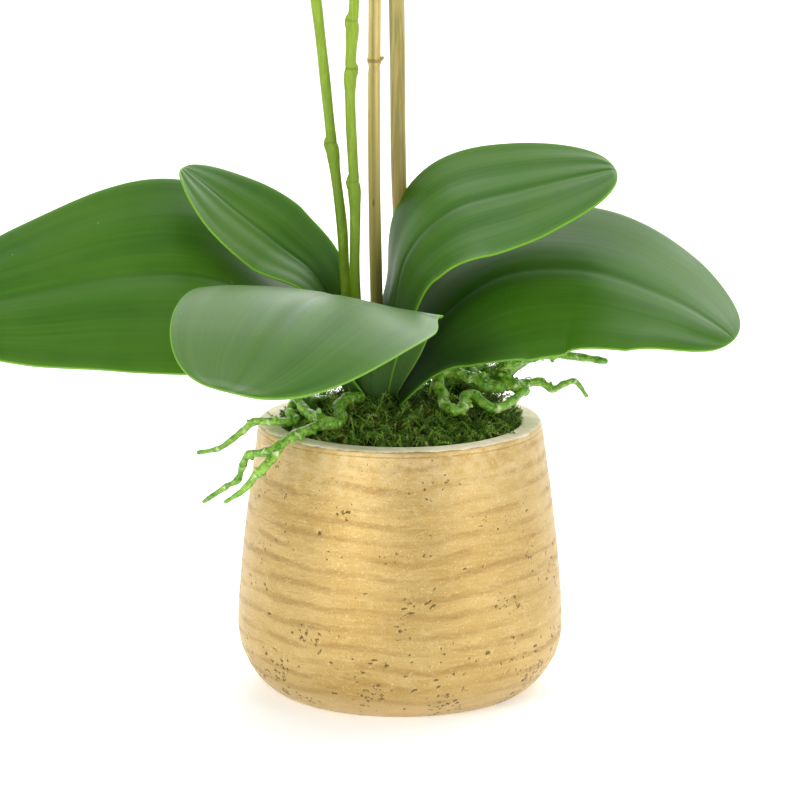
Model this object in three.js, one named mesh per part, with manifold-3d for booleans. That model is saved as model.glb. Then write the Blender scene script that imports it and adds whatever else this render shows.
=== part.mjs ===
// A moth orchid in a round, thick-walled pot: five leaves, two flower spikes with blooms and buds,
// two bamboo stakes, aerial roots, moss and the fill below it.
// Millimetres, +Z up. The origin is the centre of the pot's foot, and -Y is the front.
import * as THREE from "three";
import { mergeVertices } from "three/addons/utils/BufferGeometryUtils.js";
import Module from "manifold-3d";

const wasm = await Module();
wasm.setup();

// ---------- driving dimensions ----------

const GAP = 0.35; // clearance between touching pieces

const POT = {
  footRadius: 58.5,
  bellyRadius: 73.7,
  bellyHeight: 28,
  rimRadius: 64,
  height: 122,
  boreRadius: 54.4, // the inside, at the rim
  boreFootRadius: 52, // and at its floor
  floor: 14,
  edge: 2.2, // rounding of the rim's two edges
  sides: 36,
};
const FILL_TOP = 106;
const MOSS = { edge: 115, crown: 126, lump: 1.1, sides: 26 };
const CROWN = { x: -13, y: 5, foot: 90, top: 141, radius: 10 };

const LEAF = { steps: 14, columns: 6, thickness: 2.2, edge: 0.9 };

// Each leaf: its midrib from base to tip, the direction of its right-hand margin at base, middle and
// tip, and its section at stations from base to tip as [fold in degrees, curl, lean].
// Positive fold and curl lift both margins above the midrib. Lean lifts the right one, drops the left.
const LEAVES = {
  leaf_left_lower: {
    midrib: [[-22, 6, 131], [-44, 4, 165], [-82, 0, 185], [-124, -5, 188], [-168, -6, 181], [-212, -8, 171]],
    across: [[-0.2, 1, 0.1], [0, 0.76, 0.65], [0, 0.76, 0.6]],
    section: [[26, 0, 0], [4, -0.1, 0.02], [8, -0.14, 0.05], [5, -0.12, 0], [2, -0.08, 0]],
    width: 108,
    widest: 0.48,
    foot: 0.22,
    blunt: 1.7,
  },
  leaf_left_upper: {
    midrib: [[-20, 10, 134], [-28, 9, 164], [-39, 10, 187], [-56, 12, 201], [-77, 14, 215], [-98, 18, 233]],
    across: [[0, 1, 0], [0.6, 0.76, 0.1], [0.6, 0.75, 0]],
    section: [[20, 0.1, 0], [2, 0, 0], [4, -0.05, 0]],
    width: 50,
    widest: 0.66,
    foot: 0.14,
    blunt: 1.9,
  },
  leaf_front: {
    midrib: [[-12, -4, 132], [-13, -10, 158], [-23, -26, 181], [-37, -54, 187], [-53, -88, 179], [-71, -122, 161]],
    across: [[-1, 0.1, 0], [-0.95, 0.3, 0.08], [-0.95, 0.3, 0.08]],
    section: [[16, 0.05, 0], [0, -0.1, 0], [0, -0.11, 0], [0, -0.1, 0], [0, -0.08, 0]],
    width: 112,
    widest: 0.62,
    foot: 0.16,
    blunt: 2.1,
  },
  leaf_right_upper: {
    midrib: [[-6, 3, 135], [-3, 2, 167], [4, 4, 195], [24, 8, 216], [56, 12, 225], [97, 16, 232]],
    across: [[0.5, -0.8, 0], [0.3, -0.86, -0.4], [0.2, -0.9, -0.4]],
    section: [[24, 0.1, 0], [-4, 0, 0.18], [-4, 0, 0.17], [0, 0, 0.05], [4, -0.05, 0]],
    width: 86,
    widest: 0.6,
    foot: 0.14,
    blunt: 2.3,
  },
  leaf_right_lower: {
    midrib: [[-3, 6, 131], [14, 8, 162], [44, 11, 184], [82, 9, 189], [118, -2, 178], [148, -15, 161]],
    across: [[0.5, -1, -0.1], [0.05, -0.88, -0.48], [0, -0.86, -0.46]],
    section: [[20, 0, 0], [-4, -0.08, -0.16], [-4, -0.08, -0.05], [0, -0.1, -0.03], [0, -0.1, 0]],
    width: 98,
    widest: 0.46,
    foot: 0.36,
    blunt: 2.3,
  },
};

// Each spike: its path from the crown to its tip, its radius at both ends, the swollen nodes and the
// blooms along it as [share of its length, side of the stem, stand-off in front of it, size].
const SPIKES = {
  flower_spike_left: {
    path: [
      [-18, 6, 136], [-24, 5, 178], [-26, 4, 210], [-30, 4, 244], [-37, 4, 310],
      [-46, 3, 375], [-64, 0, 440], [-98, -6, 492], [-142, -14, 518], [-186, -20, 519],
    ],
    radius: [2.9, 1.3],
    nodes: [0.21, 0.4],
    blooms: [[0.62, -1, 14, 1], [0.71, 1, 28, 0.98], [0.8, -1, 18, 0.94], [0.885, 1, 32, 0.86]],
    buds: [[0.95, -1, 7], [0.985, 1, 6]],
  },
  flower_spike_right: {
    path: [
      [-16, 1, 136], [-20, -3, 182], [-20, -3, 220], [-22, -3, 270], [-20, -2, 311],
      [-15, 3, 372], [0, 0, 440], [32, -6, 500], [74, -14, 534], [120, -20, 541], [158, -24, 526],
    ],
    radius: [2.5, 1.2],
    nodes: [0.17, 0.3, 0.36],
    blooms: [[0.65, 1, 14, 1], [0.735, -1, 28, 0.98], [0.82, 1, 18, 0.92], [0.9, -1, 32, 0.84]],
    buds: [[0.955, 1, 7], [0.985, -1, 6]],
  },
};

// Each stake: foot, top, and its radius.
const STAKES = {
  bamboo_stake_front: { foot: [-10, 17, 30], top: [-12, 14, 440], radius: 2.95 },
  bamboo_stake_back: { foot: [8, 33, 30], top: [-6, 62, 400], radius: 3.6 },
};
const CLIP = { height: 372, tall: 7, wall: 1.6 };

// Each root: prongs as [points, radius at the start, radius at the tip]; later prongs branch off.
const ROOTS = {
  aerial_roots_left_rear: [
    [[[-24, 11, 125], [-32, 9, 128], [-41, 1, 130], [-47, -8, 131], [-49, -14, 128], [-46, -20, 126],
      [-51, -22, 125.4], [-58, -18, 125], [-65, -15, 124], [-70, -15, 120], [-75, -16, 116],
      [-81, -16, 112], [-90, -16, 110]], 2.3, 0.9],
  ],
  aerial_roots_left_front: [
    [[[-18, -6, 133], [-23, -13, 134], [-27, -20, 132], [-26, -27, 129], [-28, -33, 127], [-35, -33, 126.5],
      [-41, -40, 125.6], [-46, -46, 125.2], [-52, -51, 122], [-59, -53, 119], [-66, -51, 117.5],
      [-69, -50, 112], [-71, -50, 106], [-76, -50, 103], [-86, -50, 96]], 2.5, 0.9],
    [[[-52, -51, 122], [-55, -56, 118], [-59, -60, 114], [-63, -60, 110], [-68, -60, 104], [-76, -58, 98]], 2, 0.8],
    [[[-28, -33, 127], [-36, -28, 128.5], [-42, -20, 130], [-46, -13, 134]], 2.3, 1.8],
  ],
  aerial_roots_right_front: [
    [[[0, 8, 126], [12, 12, 130], [26, 13, 138], [36, 8, 143.5], [31, 3, 144], [24, -1, 144], [18, -5, 144],
      [17, -9, 140], [19, -14, 136], [20, -20, 133], [24, -23, 131], [28, -20, 132], [29, -14, 135],
      [33, -13, 136], [37, -17, 133], [43, -19, 131], [50, -13, 133], [55, -6, 136]], 2.4, 1.4],
    [[[24, -1, 144], [33, -5, 141], [38, -7, 138.6], [43, -6, 138], [50, 0, 138], [57, 3, 137.5], [63, 4, 138],
      [69, 3, 135], [74, 3, 137.5], [79, 3, 138.5], [84, 3, 132]], 2.1, 0.7],
    [[[50, 0, 138], [46, 4, 143], [52, 5, 146], [58, 6, 150.5], [63, 6, 153]], 1.9, 1.4],
  ],
  aerial_root_right_top: [
    [[[-3, 15, 127], [14, 21, 131], [30, 21, 135], [44, 19, 138], [52, 17, 142], [60, 17, 146.5],
      [70, 17, 148], [80, 17, 147], [93, 17, 145]], 2.3, 1.5],
  ],
};

// ---------- curves and closed geometry ----------

const vector = (p) => new THREE.Vector3(...p);
const through = (points) => new THREE.CatmullRomCurve3(points.map(vector), false, "catmullrom", 0.5);

// A closed body through rings of equal, even point counts, with both ends capped by strips.
function loft(rings) {
  const n = rings[0].length;
  const index = [];
  const quad = (a, b, c, d) => index.push(a, b, c, a, c, d);
  for (let i = 0; i < rings.length - 1; i++)
    for (let k = 0; k < n; k++) {
      const next = (k + 1) % n;
      quad(i * n + k, i * n + next, (i + 1) * n + next, (i + 1) * n + k);
    }
  const last = (rings.length - 1) * n;
  for (let k = 0; k < n / 2 - 1; k++) {
    quad(n - 1 - k, n - 2 - k, k + 1, k);
    quad(last + k, last + k + 1, last + n - 2 - k, last + n - 1 - k);
  }
  const geometry = new THREE.BufferGeometry();
  const flat = rings.flat().flatMap((p) => [p.x, p.y, p.z]);
  geometry.setAttribute("position", new THREE.BufferAttribute(new Float32Array(flat), 3));
  geometry.setIndex(index);
  return geometry;
}

// A tube along a curve whose radius follows radiusAt(0..1).
function tube(curve, radiusAt, sides, steps) {
  const frames = curve.computeFrenetFrames(steps, false);
  const rings = [];
  for (let i = 0; i <= steps; i++) {
    const centre = curve.getPointAt(i / steps);
    const radius = radiusAt(i / steps);
    const ring = [];
    for (let k = 0; k < sides; k++) {
      const turn = (2 * Math.PI * k) / sides;
      const point = centre.clone().addScaledVector(frames.normals[i], radius * Math.cos(turn));
      ring.push(point.addScaledVector(frames.binormals[i], radius * Math.sin(turn)));
    }
    rings.push(ring);
  }
  return loft(rings);
}

// Half the width of a leaf or petal at t along it, as a share of its widest.
function halfWidthShare(t, { widest, foot, blunt }) {
  if (t < widest) return foot + (1 - foot) * THREE.MathUtils.smoothstep(t / widest, -0.12, 1);
  return Math.max(0.08, (1 - ((t - widest) / (1 - widest)) ** blunt) ** 0.5);
}

// A leaf or petal: a folded, curled sheet along its midrib. grow swells it on every side.
function blade(spec, { steps, columns, thickness, edge }, grow = 0) {
  const midrib = through(spec.midrib);
  const acrossCurve = through(spec.across);
  const sectionCurve = through(spec.section);
  const crease = 0.12; // rounds the bottom of the fold
  const rings = [];
  for (let i = 0; i <= steps; i++) {
    const t = i / steps;
    const centre = midrib.getPoint(t);
    const along = midrib.getTangent(t);
    const [foldDegrees, curl, lean] = sectionCurve.getPoint(t).toArray();
    const fold = THREE.MathUtils.degToRad(foldDegrees);
    const across = acrossCurve.getPoint(t).projectOnPlane(along).normalize();
    const normal = across.clone().cross(along);
    const half = (spec.width / 2) * halfWidthShare(t, spec);
    const lift = (v) => (Math.hypot(v, crease) - crease) * Math.sin(fold) + curl * v * v + lean * v;
    const at = (v, side) => {
      const slope = (lift(v + 0.01) - lift(v - 0.01)) / 0.02;
      const offset = side * (THREE.MathUtils.lerp(thickness, edge, v * v) / 2 + grow);
      const point = centre.clone().addScaledVector(across, half * v * Math.cos(fold) + grow * v);
      point.addScaledVector(normal, half * lift(v));
      const outward = normal.clone().addScaledVector(across, -slope).normalize();
      return point.addScaledVector(outward, offset);
    };
    const stations = Array.from({ length: columns + 1 }, (_, k) => (2 * k) / columns - 1);
    const upper = stations.map((v) => at(v, 1));
    const lower = stations.map((v) => at(v, -1)).reverse();
    rings.push([...upper, ...lower]);
  }
  return loft(rings);
}

// ---------- solids: cutting and joining ----------

function solidOf(geometry) {
  const bare = geometry.clone();
  bare.deleteAttribute("normal");
  bare.deleteAttribute("uv");
  const merged = mergeVertices(bare, 1e-3);
  const triVerts = new Uint32Array(merged.index.array);
  const vertProperties = merged.attributes.position.array;
  const solid = new wasm.Manifold(new wasm.Mesh({ numProp: 3, vertProperties, triVerts }));
  if (solid.volume() > 0) return solid;
  for (let i = 0; i < triVerts.length; i += 3)
    [triVerts[i + 1], triVerts[i + 2]] = [triVerts[i + 2], triVerts[i + 1]];
  return new wasm.Manifold(new wasm.Mesh({ numProp: 3, vertProperties, triVerts }));
}

function geometryOf(solid) {
  const { numProp, numVert, vertProperties, triVerts } = solid.getMesh();
  const positions = new Float32Array(numVert * 3);
  for (let i = 0; i < numVert; i++)
    positions.set(vertProperties.subarray(i * numProp, i * numProp + 3), i * 3);
  const geometry = new THREE.BufferGeometry();
  geometry.setAttribute("position", new THREE.BufferAttribute(positions, 3));
  geometry.setIndex(new THREE.BufferAttribute(new Uint32Array(triVerts), 1));
  geometry.computeVertexNormals();
  return geometry;
}

const joined = (solids) => solids.reduce((whole, next) => whole.add(next));
const largest = (solid) =>
  solid.decompose().reduce((most, body) => (body.volume() > most.volume() ? body : most));
const cutBy = (solid, tools) => largest(tools.reduce((left, tool) => left.subtract(tool), solid));

// A solid turned about Z from a half profile of [radius, height] pairs.
const turned = (profile, sides) =>
  solidOf(
    new THREE.LatheGeometry(
      profile.map(([r, z]) => new THREE.Vector2(r, z)),
      sides,
    ).rotateX(Math.PI / 2),
  );

// ---------- materials ----------

const finish = (color, roughness, metalness = 0) =>
  new THREE.MeshStandardMaterial({ color, roughness, metalness });
const GOLD = finish(0xd0ad62, 0.42, 0.6);
const FILLER = finish(0x4a3a26, 0.95);
const MOSS_GREEN = finish(0x3d5a1c, 0.95);
const LEAF_GREEN = finish(0x3c6b2b, 0.42);
const SPIKE_GREEN = finish(0x7a9c35, 0.5);
const ROOT_GREEN = finish(0x5d8f2c, 0.5);
const BAMBOO = finish(0xb09a5c, 0.6);
const CLIP_GREEN = finish(0x6f9440, 0.4);
const PETAL_WHITE = finish(0xf6f3ec, 0.6);
const LIP_COLOUR = finish(0xe6c95a, 0.5);
const BUD_GREEN = finish(0xcdd9a0, 0.55);

const orchid = new THREE.Group();
const solids = new Map();

function place(name, solid, material) {
  const mesh = new THREE.Mesh(geometryOf(solid), material);
  mesh.name = name;
  orchid.add(mesh);
  solids.set(name, solid);
}

// ---------- the pot ----------

function potProfile() {
  const { footRadius, bellyRadius, bellyHeight, rimRadius, height, edge } = POT;
  const path = new THREE.Path();
  path.moveTo(0, 0);
  path.lineTo(footRadius, 0);
  path.bezierCurveTo(footRadius + 6, 3.5, bellyRadius, bellyHeight * 0.5, bellyRadius, bellyHeight);
  path.bezierCurveTo(bellyRadius, bellyHeight + 23, rimRadius + 3.6, height - 30, rimRadius, height - edge);
  path.quadraticCurveTo(rimRadius, height, rimRadius - edge, height);
  path.lineTo(POT.boreRadius + edge, height);
  path.quadraticCurveTo(POT.boreRadius, height, POT.boreRadius, height - edge);
  path.lineTo(POT.boreFootRadius, POT.floor);
  path.lineTo(0, POT.floor);
  return path.getPoints(3).map(({ x, y }) => [x, y]);
}
place("pot", turned(potProfile(), POT.sides), GOLD);

const boreAt = (z) =>
  THREE.MathUtils.mapLinear(z, POT.floor, POT.height, POT.boreFootRadius, POT.boreRadius);

// ---------- what passes through the moss: crown, spikes, stakes ----------

const crownSolid = (grow) => {
  const { radius, foot, top } = CROWN;
  const profile = [
    [0, foot - grow],
    [radius + grow, foot - grow],
    [radius + 1.5 + grow, 122],
    [radius - 1 + grow, 133],
    [radius - 5 + grow, top + grow],
    [0, top + grow],
  ];
  return turned(profile, 14).translate([CROWN.x, CROWN.y, 0]);
};

function spikeStem({ path, radius: [start, end], nodes }, grow = 0) {
  const swelling = (t) => nodes.reduce((sum, at) => sum + 0.9 * Math.exp(-(((t - at) / 0.008) ** 2)), 0);
  const radiusAt = (t) => THREE.MathUtils.lerp(start, end, t ** 1.4) + 0.7 * swelling(t) + grow;
  return solidOf(tube(through(path), radiusAt, 6, 44));
}

function stakeSolid({ foot, top, radius }, grow = 0) {
  const line = new THREE.LineCurve3(vector(foot), vector(top));
  return solidOf(tube(line, () => radius + grow, 10, 1));
}

// ---------- the leaves ----------

for (const [name, spec] of Object.entries(STAKES)) place(name, stakeSolid(spec), BAMBOO);
const grownStakes = Object.values(STAKES).map((spec) => stakeSolid(spec, GAP));
const grownStems = Object.values(SPIKES).map((spec) => spikeStem(spec, GAP));

place("crown", cutBy(crownSolid(0), [...grownStems, ...grownStakes]), SPIKE_GREEN);

const blocked = [crownSolid(GAP), ...grownStems, ...grownStakes];
for (const [name, spec] of Object.entries(LEAVES)) {
  place(name, cutBy(solidOf(blade(spec, LEAF)), blocked), LEAF_GREEN);
  blocked.push(solidOf(blade(spec, LEAF, GAP)));
}

// ---------- spikes with their pedicels, blooms and buds ----------

const PETAL = { steps: 5, columns: 4, thickness: 1.2, edge: 0.7 };
const SEPAL = { ...PETAL, columns: 2 };
const LIP = { ...PETAL, steps: 3, columns: 2 };
const SEPAL_SHAPE = { width: 29, widest: 0.55, foot: 0.3, blunt: 2 };
const PETAL_SHAPE = { width: 50, widest: 0.52, foot: 0.16, blunt: 2.4 };
const FLAT_SECTION = [[0, 0, 0], [0, 0.06, 0], [0, 0.1, 0]];

// A sepal or petal pointing away from the flower's centre at an angle from up.
function lobe(angle, length, shape, rise, mesh) {
  const dir = [Math.sin(angle), Math.cos(angle)];
  const side = [Math.cos(angle), -Math.sin(angle)];
  const [near, mid, far, tip] = rise;
  const spec = {
    midrib: [
      [dir[0] * 2, dir[1] * 2, near],
      [dir[0] * length * 0.33, dir[1] * length * 0.33, mid],
      [dir[0] * length * 0.67, dir[1] * length * 0.67, far],
      [dir[0] * length, dir[1] * length, tip],
    ],
    across: [[...side, 0], [...side, 0], [...side, 0]],
    section: FLAT_SECTION,
    ...shape,
  };
  return solidOf(blade(spec, mesh));
}

const disc = (radius, low, high, sides = 8) =>
  turned([[0, low], [radius, low], [radius, high], [0, high]], sides);

// A flower facing +Z with its top sepal along +Y: three sepals, two petals, then lip and column.
function flowerSolids() {
  const sepals = joined([
    disc(4.6, -2, -0.2),
    lobe(0, 40, SEPAL_SHAPE, [-1.1, -1.2, -2, -5], SEPAL),
    lobe((Math.PI * 2) / 3, 38, SEPAL_SHAPE, [-1.1, -1.2, -2, -5], SEPAL),
    lobe((-Math.PI * 2) / 3, 38, SEPAL_SHAPE, [-1.1, -1.2, -2, -5], SEPAL),
  ]);
  const petals = joined([
    disc(4, 0.2, 2.2),
    lobe(1.42, 42, PETAL_SHAPE, [1.2, 1.9, 2.8, 1], PETAL),
    lobe(-1.42, 42, PETAL_SHAPE, [1.2, 1.9, 2.8, 1], PETAL),
  ]);
  const column = through([[0, 0, 3.3], [0, 1.6, 7], [0, 0.5, 11]]);
  const tongue = {
    midrib: [[0, -1, 4.6], [0, -7, 9.5], [0, -14, 12], [0, -21, 10]],
    across: [[1, 0, 0], [1, 0, 0], [1, 0, 0]],
    section: [[20, 0, 0], [10, 0, 0], [0, 0, 0]],
    width: 12,
    widest: 0.5,
    foot: 0.5,
    blunt: 1.6,
  };
  const wing = (side) => ({
    midrib: [[side * 1.5, -1, 5.2], [side * 6, -2, 8], [side * 9, 1, 12], [side * 9, 6, 14]],
    across: [[0, 0.3, 1], [0, 0.2, 1], [0, 0, 1]],
    section: FLAT_SECTION,
    width: 9,
    widest: 0.55,
    foot: 0.5,
    blunt: 2,
  });
  const lip = joined([
    disc(3, 2.9, 6, 8),
    solidOf(tube(column, () => 2.3, 6, 2)),
    solidOf(blade(tongue, LIP)),
    solidOf(blade(wing(1), LIP)),
    solidOf(blade(wing(-1), LIP)),
  ]);
  return { sepals, petals, lip };
}

const FLOWER = flowerSolids();
const LOOK = new THREE.Vector3(0, -1, -0.12); // the way most blooms face

// A pose at a share of a spike's length: off to one side of the stem and in front of it.
function poseOn(curve, share, side, standOff, sideways) {
  const along = curve.getTangentAt(share);
  const across = along.clone().cross(LOOK).normalize().multiplyScalar(side);
  const stem = curve.getPointAt(share);
  const facing = LOOK.clone().addScaledVector(across, 0.22).normalize();
  const right = new THREE.Vector3(0, 0, 1).cross(facing).normalize();
  const upward = facing.clone().cross(right);
  const centre = stem.clone().addScaledVector(across, sideways).addScaledVector(facing, standOff);
  const basis = new THREE.Matrix4().makeBasis(right, upward, facing).setPosition(centre);
  return { stem, across, facing, centre, basis };
}

const pedicel = (stem, across, facing, end, radius) => {
  const reach = stem.distanceTo(end);
  const first = stem.clone().addScaledVector(across, reach * 0.35).addScaledVector(facing, reach * 0.12);
  const second = end.clone().addScaledVector(facing, -reach * 0.3);
  const curve = new THREE.CatmullRomCurve3([stem, first, second, end], false, "catmullrom", 0.5);
  return solidOf(tube(curve, () => radius, 6, 5));
};

const budSolid = (radius) =>
  turned(
    [[0, -radius], [radius * 0.55, -radius * 0.8], [radius, 0], [radius * 0.8, radius * 0.9], [0, radius * 1.7]],
    8,
  );

for (const [spikeName, spec] of Object.entries(SPIKES)) {
  const curve = through(spec.path);
  const parts = [spikeStem(spec)];
  const suffix = spikeName.split("_").pop();
  spec.blooms.forEach(([share, side, standOff, size], i) => {
    const pose = poseOn(curve, share, side, standOff, 22);
    const backOfFlower = pose.centre.clone().addScaledVector(pose.facing, -2 * size - GAP);
    parts.push(pedicel(pose.stem, pose.across, pose.facing, backOfFlower, 1.3));
    const scaled = pose.basis.clone().scale(new THREE.Vector3(size, size, size));
    const rows = scaled.elements;
    const matrix = [...rows];
    for (const [layer, solid] of Object.entries(FLOWER))
      place(`bloom_${suffix}_${i + 1}_${layer}`, solid.transform(matrix), layer === "lip" ? LIP_COLOUR : PETAL_WHITE);
  });
  spec.buds.forEach(([share, side, radius], i) => {
    const pose = poseOn(curve, share, side, 5, 12);
    const foot = pose.centre.clone().addScaledVector(pose.facing, -radius - GAP);
    parts.push(pedicel(pose.stem, pose.across, pose.facing, foot, 1.1));
    place(`bud_${suffix}_${i + 1}`, budSolid(radius).transform([...pose.basis.elements]), BUD_GREEN);
  });
  place(spikeName, joined(parts), SPIKE_GREEN);
}

// ---------- the clip that holds the right spike to a stake ----------

function clipSolid() {
  const { height, tall, wall } = CLIP;
  const stake = STAKES.bamboo_stake_front;
  const stem = SPIKES.flower_spike_right;
  const share = (height - stake.foot[2]) / (stake.top[2] - stake.foot[2]);
  const onStake = vector(stake.foot).lerp(vector(stake.top), share);
  const curve = through(stem.path);
  const points = curve.getPoints(400);
  const onStem = points.reduce((best, p) => (Math.abs(p.z - height) < Math.abs(best.z - height) ? p : best));
  // Its outline runs round the stake and the stem and straight between them.
  const [from, to] = [onStake, onStem].map((p) => new THREE.Vector2(p.x, p.y));
  const bearing = to.clone().sub(from).angle();
  const outline = new THREE.Shape();
  outline.absarc(from.x, from.y, stake.radius + wall, bearing + Math.PI / 2, bearing + 1.5 * Math.PI, false);
  outline.absarc(to.x, to.y, 2.6 + wall, bearing - Math.PI / 2, bearing + Math.PI / 2, false);
  const body = new THREE.ExtrudeGeometry(outline, { depth: tall, bevelEnabled: false, curveSegments: 7 });
  body.translate(0, 0, height - tall / 2);
  return cutBy(solidOf(body), [stakeSolid(stake, 0.3), spikeStem(stem, 0.3)]);
}
place("stem_clip", clipSolid(), CLIP_GREEN);

// ---------- aerial roots ----------

function rootSolid(prongs, grow = 0) {
  const solid = prongs.map(([points, start, tip]) => {
    const curve = through(points);
    const radiusAt = (t) => THREE.MathUtils.lerp(start, tip, t ** 1.5) + grow;
    return solidOf(tube(curve, radiusAt, 6, Math.round(points.length * 1.3)));
  });
  return joined(solid);
}

const onRoots = [...blocked];
for (const [name, prongs] of Object.entries(ROOTS)) {
  place(name, cutBy(rootSolid(prongs), onRoots), ROOT_GREEN);
  onRoots.push(rootSolid(prongs, GAP));
}

// ---------- moss and fill ----------

const throughMoss = [
  crownSolid(GAP),
  ...grownStems,
  ...grownStakes,
  ...Object.values(ROOTS).map((prongs) => rootSolid(prongs, GAP)),
];

// The moss fills the bore with an uneven dome; its underside is flat.
function mossSolid() {
  const { edge, crown, lump, sides } = MOSS;
  const rings = [0, 0.35, 0.62, 0.84, 1];
  const profile = rings.map((r) => [r, edge + (crown - edge) * (1 - r ** 2.2)]).reverse();
  const radius = boreAt(edge) - GAP;
  const low = FILL_TOP + GAP;
  const outline = [[0, low], [boreAt(low) - GAP, low], ...profile.map(([r, z]) => [r * radius, z])];
  const geometry = new THREE.LatheGeometry(
    outline.map(([r, z]) => new THREE.Vector2(r, z)),
    sides,
  ).rotateX(Math.PI / 2);
  const position = geometry.attributes.position;
  for (let i = 0; i < position.count; i++) {
    const [x, y, z] = [position.getX(i), position.getY(i), position.getZ(i)];
    if (z < low + 1 || Math.hypot(x, y) > radius - 1) continue;
    const wave = Math.sin(x * 0.19 + 1.3) * Math.cos(y * 0.23 - 0.4) + 0.6 * Math.sin(x * 0.09 - y * 0.31);
    position.setZ(i, z + lump * wave);
  }
  return solidOf(geometry);
}
place("moss", cutBy(mossSolid(), throughMoss), MOSS_GREEN);

const fill = turned(
  [
    [0, POT.floor + GAP],
    [boreAt(POT.floor + GAP) - GAP, POT.floor + GAP],
    [boreAt(FILL_TOP) - GAP, FILL_TOP],
    [0, FILL_TOP],
  ],
  32,
);
place("potting_fill", cutBy(fill, throughMoss), FILLER);

export default orchid;
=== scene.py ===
"""Looks for a moth orchid in a gold-painted concrete pot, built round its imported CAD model.
Blender 4.5, metres. The builders below work in millimetres, +Z up, with -Y the front."""

import math

import bmesh
import bpy
import numpy as np
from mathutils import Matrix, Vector, noise
from mathutils.kdtree import KDTree


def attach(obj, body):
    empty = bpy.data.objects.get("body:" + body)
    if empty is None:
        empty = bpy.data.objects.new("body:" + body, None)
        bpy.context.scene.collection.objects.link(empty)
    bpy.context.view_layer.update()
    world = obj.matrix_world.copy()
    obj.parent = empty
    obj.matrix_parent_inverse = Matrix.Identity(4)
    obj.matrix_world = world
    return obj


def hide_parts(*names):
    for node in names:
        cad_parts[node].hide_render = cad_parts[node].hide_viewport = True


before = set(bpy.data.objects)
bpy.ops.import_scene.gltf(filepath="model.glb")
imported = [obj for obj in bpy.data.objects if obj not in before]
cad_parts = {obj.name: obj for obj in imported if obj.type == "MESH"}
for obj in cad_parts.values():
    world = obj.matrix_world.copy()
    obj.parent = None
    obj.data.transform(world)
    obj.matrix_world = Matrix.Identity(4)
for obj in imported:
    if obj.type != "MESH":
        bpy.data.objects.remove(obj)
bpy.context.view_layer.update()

MM = 0.001

# ---------- measures in millimetres, as in the CAD but for small detail ----------

POT_SIDES, PITS, PIT_CLUSTERS = 440, 250, 17
POT = dict(foot=58.5, belly=73.7, belly_height=28, rim=64, height=122, bore=54.4, bore_foot=52, floor=14,
           edge=2.2)
FILL_TOP = 106
MOSS_EDGE, MOSS_CROWN = 115, 126
SPRIG_LENGTHS = 5, 12
CROWN = dict(x=-13, y=5)

LEAF_GRID = 130, 60  # steps along, columns across
LEAF_THICKNESS = 1.8, 0.9  # at the midrib, at the margin
LEAVES = {
    "leaf_left_lower": dict(
        midrib=[[-22, 6, 131], [-44, 4, 165], [-82, 0, 185], [-124, -5, 188], [-168, -6, 181],
                [-212, -8, 171]],
        across=[[-0.2, 1, 0.1], [0, 0.76, 0.65], [0, 0.76, 0.6]],
        section=[[26, 0, 0], [4, -0.1, 0.02], [8, -0.14, 0.05], [5, -0.12, 0], [2, -0.08, 0]],
        width=108, widest=0.48, foot=0.22, blunt=1.7, seed=1),
    "leaf_left_upper": dict(
        midrib=[[-20, 10, 134], [-28, 9, 164], [-39, 10, 187], [-56, 12, 201], [-77, 14, 215],
                [-98, 18, 233]],
        across=[[0, 1, 0], [0.6, 0.76, 0.1], [0.6, 0.75, 0]],
        section=[[20, 0.1, 0], [10, 0, 0.14], [8, -0.05, 0.08]],
        width=47, widest=0.66, foot=0.14, blunt=1.9, seed=2),
    "leaf_front": dict(
        midrib=[[-12, -4, 132], [-13, -10, 158], [-23, -26, 181], [-37, -54, 187], [-53, -88, 179],
                [-71, -122, 161]],
        across=[[-1, 0.1, 0], [-0.95, 0.3, 0.08], [-0.95, 0.3, 0.08]],
        section=[[16, 0.05, 0], [0, -0.1, 0], [0, -0.11, 0], [0, -0.1, 0], [0, -0.08, 0]],
        width=112, widest=0.62, foot=0.16, blunt=2.1, seed=3, nib=[0.335, -1, 4.5, 0.04]),
    "leaf_right_upper": dict(
        midrib=[[-6, 3, 135], [-3, 2, 167], [4, 4, 195], [24, 8, 216], [56, 12, 225], [97, 16, 232]],
        across=[[0.5, -0.8, 0], [0.3, -0.86, -0.4], [0.2, -0.9, -0.4]],
        section=[[24, 0.1, 0], [-4, 0, 0.18], [-4, 0, 0.17], [0, 0, 0.05], [4, -0.05, 0]],
        width=86, widest=0.6, foot=0.14, blunt=2.3, seed=4),
    "leaf_right_lower": dict(
        midrib=[[-3, 6, 131], [14, 8, 162], [44, 11, 184], [82, 9, 189], [118, -2, 178], [148, -15, 161]],
        across=[[0.5, -1, -0.1], [0.05, -0.88, -0.48], [0, -0.86, -0.46]],
        section=[[20, 0, 0], [-4, -0.08, -0.16], [-4, -0.08, -0.05], [0, -0.1, -0.03], [0, -0.1, 0]],
        width=98, widest=0.46, foot=0.36, blunt=2.3, seed=5),
}

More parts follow.
